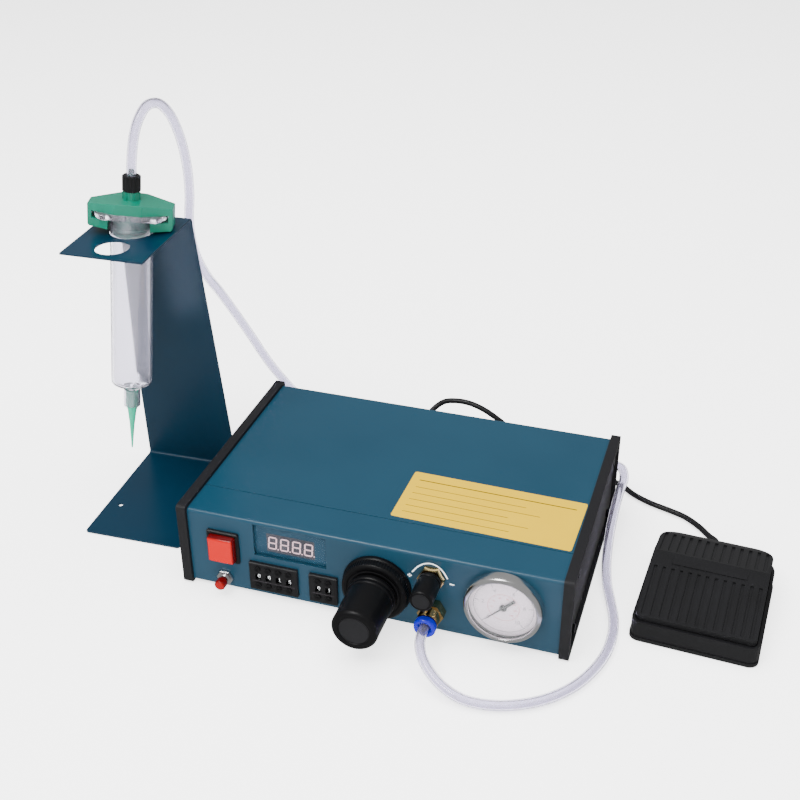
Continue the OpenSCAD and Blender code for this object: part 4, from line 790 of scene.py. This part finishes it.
# a ring of points per step, each step given as (along, inset from the outline)
def steppedBox(width, height, corner, steps):
    shape = bmesh.new()
    rings = []
    for along, inset in steps:
        outline = roundedBox(width - 2 * inset, height - 2 * inset, max(0.25, corner - inset), 4)
        rings.append([shape.verts.new((x, y, along)) for x, y in outline])
    return stacked(shape, rings)


def makePowerCap():
    front, back = powerValues["front"], powerValues["back"]
    steps = [(back, 0), (front + 1.7, 0), (front + 1.05, 0.15), (front + 0.5, 0.5), (front + 0.15, 1.0),
             (front, 1.6), (front + 0.06, 2.2), (front + 0.12, 4.0)]
    cap = steppedBox(powerValues["width"], powerValues["height"], powerValues["corner"], steps)
    addPiece("powerCap", cap, onPanel(*powerValues["at"]), "power_button_cap", redCap, ["power_button_cap"],
             30)


makePowerCap()
makeRegulator()
makeVacuumKnob()
makeReleaseRing()
makeGauge()
makeShotButton()
print("knobs, fittings and gauge made")


displayValues = {"centre": (-49.2, 39.4), "figures": 4, "pitch": 7.6, "width": 4.7, "height": 8.2,
                 "stroke": 0.85, "slant": 0.08, "module": (30.4, 13.2), "film": (48.4, 24.6),
                 "filmAt": (-48.9, 41.2), "figureLayer": (-4.78, -4.66), "moduleLayer": (-10, -4.79),
                 "filmLayer": (-4.88, -4.82)}


# the seven bars of a figure of eight, each with pointed ends, and the dot beside it
def litFigure():
    width, height, stroke = (displayValues[key] for key in ("width", "height", "stroke"))
    left, right, low, middle, top = -width / 2, width / 2, -height / 2, 0, height / 2
    bars = [((left, top), (right, top)), ((right, middle), (right, top)), ((right, low), (right, middle)),
            ((left, low), (right, low)), ((left, low), (left, middle)), ((left, middle), (left, top)),
            ((left, middle), (right, middle))]
    half, short = stroke / 2, stroke * 0.12
    outlines = []
    for start, end in bars:
        start, end = Vector(start), Vector(end)
        along = (end - start).normalized()
        across = Vector((-along.y, along.x))
        start, end = start + along * short, end - along * short
        outline = [start, start + (along - across) * half, end - (along + across) * half, end,
                   end + (across - along) * half, start + (along + across) * half]
        outlines.append([(p.x + displayValues["slant"] * p.y, p.y) for p in outline])
    outlines.append([(x + right + 1.0, y + low) for x, y in roundedBox(stroke, stroke, 0.3, 2)])
    return outlines


# from the front to the back: the lit figures, the face of their module and the tinted film
def makeDisplay():
    v = displayValues
    front = facingOut(*v["centre"])
    parts = []
    for k in range(v["figures"]):
        place = Matrix.Translation(((k - (v["figures"] - 1) / 2) * v["pitch"], 0, 0))
        parts += [(drawnOut(outline, *v["figureLayer"]), place) for outline in litFigure()]
    addPiece("litDigits", joinShapes(parts), front, "dispenser", lightSegments)
    face = drawnOut(roundedBox(*v["module"], 0.6), *v["moduleLayer"], 0.02)
    addPiece("displayModule", face, front, "dispenser", displayFace)
    film = drawnOut(roundedBox(*v["film"], 0.4), *v["filmLayer"])
    addPiece("windowFilm", film, facingOut(*v["filmAt"]), "dispenser", filterFilm)


wheelValues = {"radius": 4.8, "axis": 6.6, "height": 15.4, "figure": 3.9, "drop": 7, "cuts": 0.35,
               "places": (-69.499, -62.899, -56.299, -49.699, -31.207, -24.607), "shown": (0, 0, 1, 5, 0, 1),
               "blocks": ((-59.599, 31.0), (-27.907, 17.8)), "line": 12.35,
               "plus": 21.3, "minus": 9.5, "sign": (2.0, 0.5)}


# ten figures round each wheel, with the shown one a little below the middle of its window
def makeWheelFigures():
    radius = wheelValues["radius"] + 0.02
    for number, (x, first) in enumerate(zip(wheelValues["places"], wheelValues["shown"]), 1):
        parts = []
        for k in range(10):
            figure = numberShape(str(k), wheelValues["figure"])
            for step in range(-4, 5):      # cut across, so that the figure can bend round the wheel
                bmesh.ops.bisect_plane(figure, geom=figure.verts[:] + figure.edges[:] + figure.faces[:],
                                       plane_co=(0, step * wheelValues["cuts"], 0), plane_no=(0, 1, 0))
            for vertex in figure.verts:
                lift = radius + 0.03 + vertex.co.z
                angle = vertex.co.y / radius
                vertex.co = Vector((vertex.co.x, -lift * math.cos(angle), lift * math.sin(angle)))
            parts.append((figure, turn(36 * (k - first) + wheelValues["drop"], "X")))
        place = inController @ Matrix.Translation((x, wheelValues["axis"], wheelValues["height"]))
        addPiece(f"wheelFigures{number}", joinShapes(parts), place, f"number_wheel_{number}", whiteInk)


# plus and minus on the keys, and the line across each wheel case
def makeKeyMarks():
    v = wheelValues
    wide, thin = v["sign"]
    for number, x in enumerate(v["places"], 1):
        for kind in ("plus", "minus"):
            bars = [(drawnOut(roundedBox(wide, thin, 0.1, 2), -0.02, 0.28), unmoved)]
            if kind == "plus":
                bars.append((drawnOut(roundedBox(thin, wide, 0.1, 2), -0.02, 0.28), unmoved))
            place = inController @ Matrix.Translation((x, -0.42, v[kind])) @ turn(-90, "X")
            addPiece(f"{kind}Mark{number}", joinShapes(bars), place, f"{kind}_button_{number}", keyInk)
    bars = []
    for x, width in v["blocks"]:
        bar = drawnOut(roundedBox(width - 3.4, 0.3, 0.1, 2), -0.02, 0.04)
        bars.append((bar, Matrix.Translation((x, v["line"], 0))))
    addPiece("wheelLines", joinShapes(bars), facingOut(), "dispenser", lineInk)


printValues = {"arc": [(26.6, 41.0), (30, 45.6), (33.4, 48.3), (37.4, 49.5), (41.4, 48.6), (45, 45.4),
                       (47.6, 40.9)], "arcWidth": 0.8, "panel": -2.2, "ink": 0.06,
               "plus": (25.1, 38.3), "minus": (50.3, 37.5), "sign": 2.6, "signWidth": 0.7}


# white marks printed on the front panel beside the vacuum knob
def makePanelPrint():
    v = printValues
    low, high = v["panel"], v["panel"] + v["ink"]
    line = smoothLine([(x, z, 0) for x, z in v["arc"]], 0.8)
    shape = bmesh.new()
    rows = []
    for i, point in enumerate(line):
        along = (line[min(i + 1, len(line) - 1)] - line[max(i - 1, 0)]).normalized()
        across = Vector((-along.y, along.x, 0)) * v["arcWidth"] / 2
        left, right = point - across, point + across
        rows.append([shape.verts.new((p.x, p.y, height)) for p, height in
                     ((left, low), (left, high), (right, high), (right, low))])
    parts = [(stacked(shape, rows), unmoved)]
    size, width = v["sign"], v["signWidth"]
    for (x, z), wide, tall in ((v["plus"], size, width), (v["plus"], width, size), (v["minus"], size, width)):
        parts.append((drawnOut(roundedBox(wide, tall, 0.1, 2), low, high), Matrix.Translation((x, z, 0))))
    addPiece("panelMarks", joinShapes(parts), facingOut(), "dispenser", whiteInk)


# each ruled line: its height on the sticker, its right end and its thickness
labelValues = {"centre": (58.4, 55.2), "cover": 54.8, "size": (108.5, 48.0), "turn": -1.2, "corner": 1.6,
               "thick": 0.12, "left": -49, "rules": ((16, 49, 0.7), (8.5, 20, 0.35), (2, 30, 0.35),
                                                     (-4.5, 12, 0.35), (-11, 26, 0.35), (-17.5, 16, 0.35))}


# blank yellow sticker on the cover, with plain ruled lines
def makeLabel():
    v = labelValues
    place = inController @ Matrix.Translation((*v["centre"], v["cover"])) @ turn(v["turn"], "Z")
    sticker = drawnOut(roundedBox(*v["size"], v["corner"]), 0.0, v["thick"], 0.04)
    addPiece("yellowLabel", sticker, place, "dispenser", yellowVinyl)
    lines = []
    for y, right, thick in v["rules"]:
        low, high = y - thick / 2, y + thick / 2
        corners = [(v["left"], low), (right, low), (right, high), (v["left"], high)]
        lines.append((drawnOut(corners, v["thick"] - 0.01, v["thick"] + 0.03), unmoved))
    addPiece("labelLines", joinShapes(lines), place, "dispenser", darkInk)


makeDisplay()
makeWheelFigures()
makeKeyMarks()
makePanelPrint()
makeLabel()
print("digits, figures and printing made")


barrelValues = {"radius": 12.7, "bore": 11.4, "flangeTop": 12.431, "flange": 3.2, "ears": 43.0,
                "earWidth": 28.0, "shoulder": -100.569, "collar": -104.569, "luer": 5.2, "luerEnd": -117.569}


# clear barrel with its two ears, and its luer end inside a collar
def makeBarrel():
    v = barrelValues
    r, bore, top, luer, end = v["radius"], v["bore"], v["flangeTop"], v["luer"], v["luerEnd"]
    profile = [(bore + 0.3, top), (r, top), (r, v["shoulder"], 1.2), (luer, v["collar"], 0.8),
               (luer, end, 0.4), (4.1, end, 0.1), (4.1, -106.3), (2.0, -106.3), (2.0, end), (1.1, end),
               (1.1, v["collar"] + 1, 0.6), (bore, v["shoulder"] + 0.6, 1.0), (bore, top - 0.5, 0.1),
               (bore + 0.3, top)]
    parts = [(turned(profile, 96), unmoved)]
    half, wide = v["ears"] / 2, v["earWidth"] / 2
    reach = math.degrees(math.asin(wide / half))

    def arc(radius, first, last, count):
        angles = [math.radians(first + (last - first) * k / count) for k in range(count + 1)]
        return [(radius * math.cos(a), radius * math.sin(a)) for a in angles]

    for side in (0, 180):
        outline = arc(half, -reach, reach, 16) + [(2.0, wide)] + arc(r, 84, -84, 24) + [(2.0, -wide)]
        parts.append((drawnOut(outline, top - v["flange"], top, 0.35), turn(side, "Z")))
    addPiece("syringeBarrel", joinShapes(parts), inSyringe, "dispenser", frostedBarrel, ["syringe_barrel"],
             40)


tipValues = {"hub": 3.9, "top": -106.169, "end": -148.569, "ribs": 8}


# hub with its ribs, and the cone that tapers to the opening
def makeTip():
    v = tipValues
    hub, top, end = v["hub"], v["top"], v["end"]

    def ribbed(radius, along, angle):
        if -117.0 > along > -120.5 and radius > 2.5:
            return radius + 0.25 * max(0.0, math.cos(v["ribs"] * angle))
        return radius

    profile = [(2.1, top), (hub - 0.2, top, 0.2), (hub, top - 0.4), (hub, -115.5), (3.7, -117.2),
               (3.2, -118.4), (3.0, -119.6), (2.8, -121, 0.6), (1.6, -131), (0.75, -143), (0.45, end),
               (0.2, end), (0.5, -135), (1.4, -124), (2.1, -118), (2.1, top)]
    addPiece("dispensingTip", turned(profile, 64, ribbed), inSyringe, "dispenser", greenTip,
             ["dispensing_tip"], 45)


nutValues = {"radius": 5.5, "from": 24.031, "to": 33.731, "ribs": 14, "groove": 0.4}


# nut over the hose end, grooved for the fingers
def makeHoseNut():
    v = nutValues
    low, high, r = v["from"], v["to"], v["radius"]

    def ribbed(radius, along, angle):
        if radius > r - 0.3 and low + 0.6 < along < high - 0.6:
            return radius - v["groove"] * max(0.0, math.cos(v["ribs"] * angle)) ** 0.6
        return radius

    profile = [(3.15, low), (r - 0.4, low, 0.2), (r, low + 0.5), (r, low + 0.8), (r, high - 0.9),
               (r, high - 0.6), (r - 0.7, high, 0.3), (3.5, high, 0.2), (3.15, high - 0.4), (3.15, low)]
    addPiece("hoseNut", turned(profile, v["ribs"] * 12, ribbed), inSyringe, "dispenser", blackAbs,
             ["hose_nut"], 40)


barbValues = {"radius": 1.95, "bore": 1.2, "from": 26.5, "to": 37.0}


# the stem's barb, seen through the hose above the nut
def makeBarb():
    bore, radius, low, high = (barbValues[key] for key in ("bore", "radius", "from", "to"))
    profile = [(bore, low), (radius, low), (radius, high - 1.4, 0.2), (radius - 0.4, high, 0.1), (bore, high),
               (bore, low)]
    addPiece("stemBarb", turned(profile, 40), inSyringe, "dispenser", greenAdapter)


makeBarrel()
makeTip()
makeHoseNut()
makeBarb()
print("syringe made")


springValues = {"wire": 0.8, "radius": 3.6, "turns": 6.5, "low": 2.65, "high": 16.7, "from": 16.0,
                "keep": 0.8}


# return spring under the treadle, which shortens as the treadle goes down
def makePedalSpring():
    v = springValues
    parts = round(v["turns"] * 24)
    line = []
    for k in range(parts + 1):
        angle = 2 * math.pi * v["turns"] * k / parts
        line.append(Vector((v["radius"] * math.cos(angle), v["from"] + v["radius"] * math.sin(angle),
                            v["low"] + (v["high"] - v["low"]) * k / parts)))
    spring = addPiece("pedalSpring", sweptTube(line, v["wire"] / 2, sides=12), inPedal, "dispenser",
                      springSteel, ["pedal_spring"])
    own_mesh(spring)


makePedalSpring()
print("pedal spring made")


# each light: its place, what it points at, its size in metres and its power in watts
studio = {"world": 0.36, "floorSize": 30, "table": 2.0,
          "keyLight": ((-0.1, -0.1, 1.7), (0, 0, 0.05), 2.2, 104.0),
          "fillLight": ((0.5, -1.8, 0.8), (0, 0, 0.1), 1.4, 42.0),
          "edgeLight": ((-0.42, -0.82, 1.3), (0, 0, 0.05), 0.5, 13.0)}


# pale floor and plain soft light; only the edge light shows as a highlight on glossy pieces
def makeStudio():
    material, tree = startMaterial("paleFloor")
    mottle = grain(tree, 400, detail=2)
    pale = drift(tree, mottle, "#f7f7f7", "#fbfbfb")
    endMaterial(tree, {"Roughness": 0.9, "Specular IOR Level": 0.1, "Emission Strength": studio["table"]},
                {"Base Color": pale, "Emission Color": pale})
    shape = bmesh.new()
    bmesh.ops.create_grid(shape, x_segments=8, y_segments=8, size=studio["floorSize"])
    mesh = bpy.data.meshes.new("floor")
    shape.to_mesh(mesh)
    shape.free()
    mesh.materials.append(material)
    floor = bpy.data.objects.new("floor", mesh)
    floor.location.z = -0.0005
    floor.visible_glossy = False
    bpy.context.scene.collection.objects.link(floor)
    world = bpy.data.worlds.new("studio")
    world.use_nodes = True
    sky = world.node_tree.nodes["Background"].inputs
    sky["Color"].default_value = toLinear("#ffffff")
    sky["Strength"].default_value = studio["world"]
    bpy.context.scene.world = world
    for name in ("keyLight", "fillLight", "edgeLight"):
        place, target, size, power = studio[name]
        lamp = bpy.data.lights.new(name, "AREA")
        lamp.size, lamp.energy = size, power
        light = bpy.data.objects.new(name, lamp)
        light.location = place
        light.rotation_mode = "QUATERNION"
        light.rotation_quaternion = (Vector(target) - Vector(place)).to_track_quat("-Z", "Y")
        light.visible_glossy = name == "edgeLight"
        bpy.context.scene.collection.objects.link(light)


makeStudio()
print("studio set")
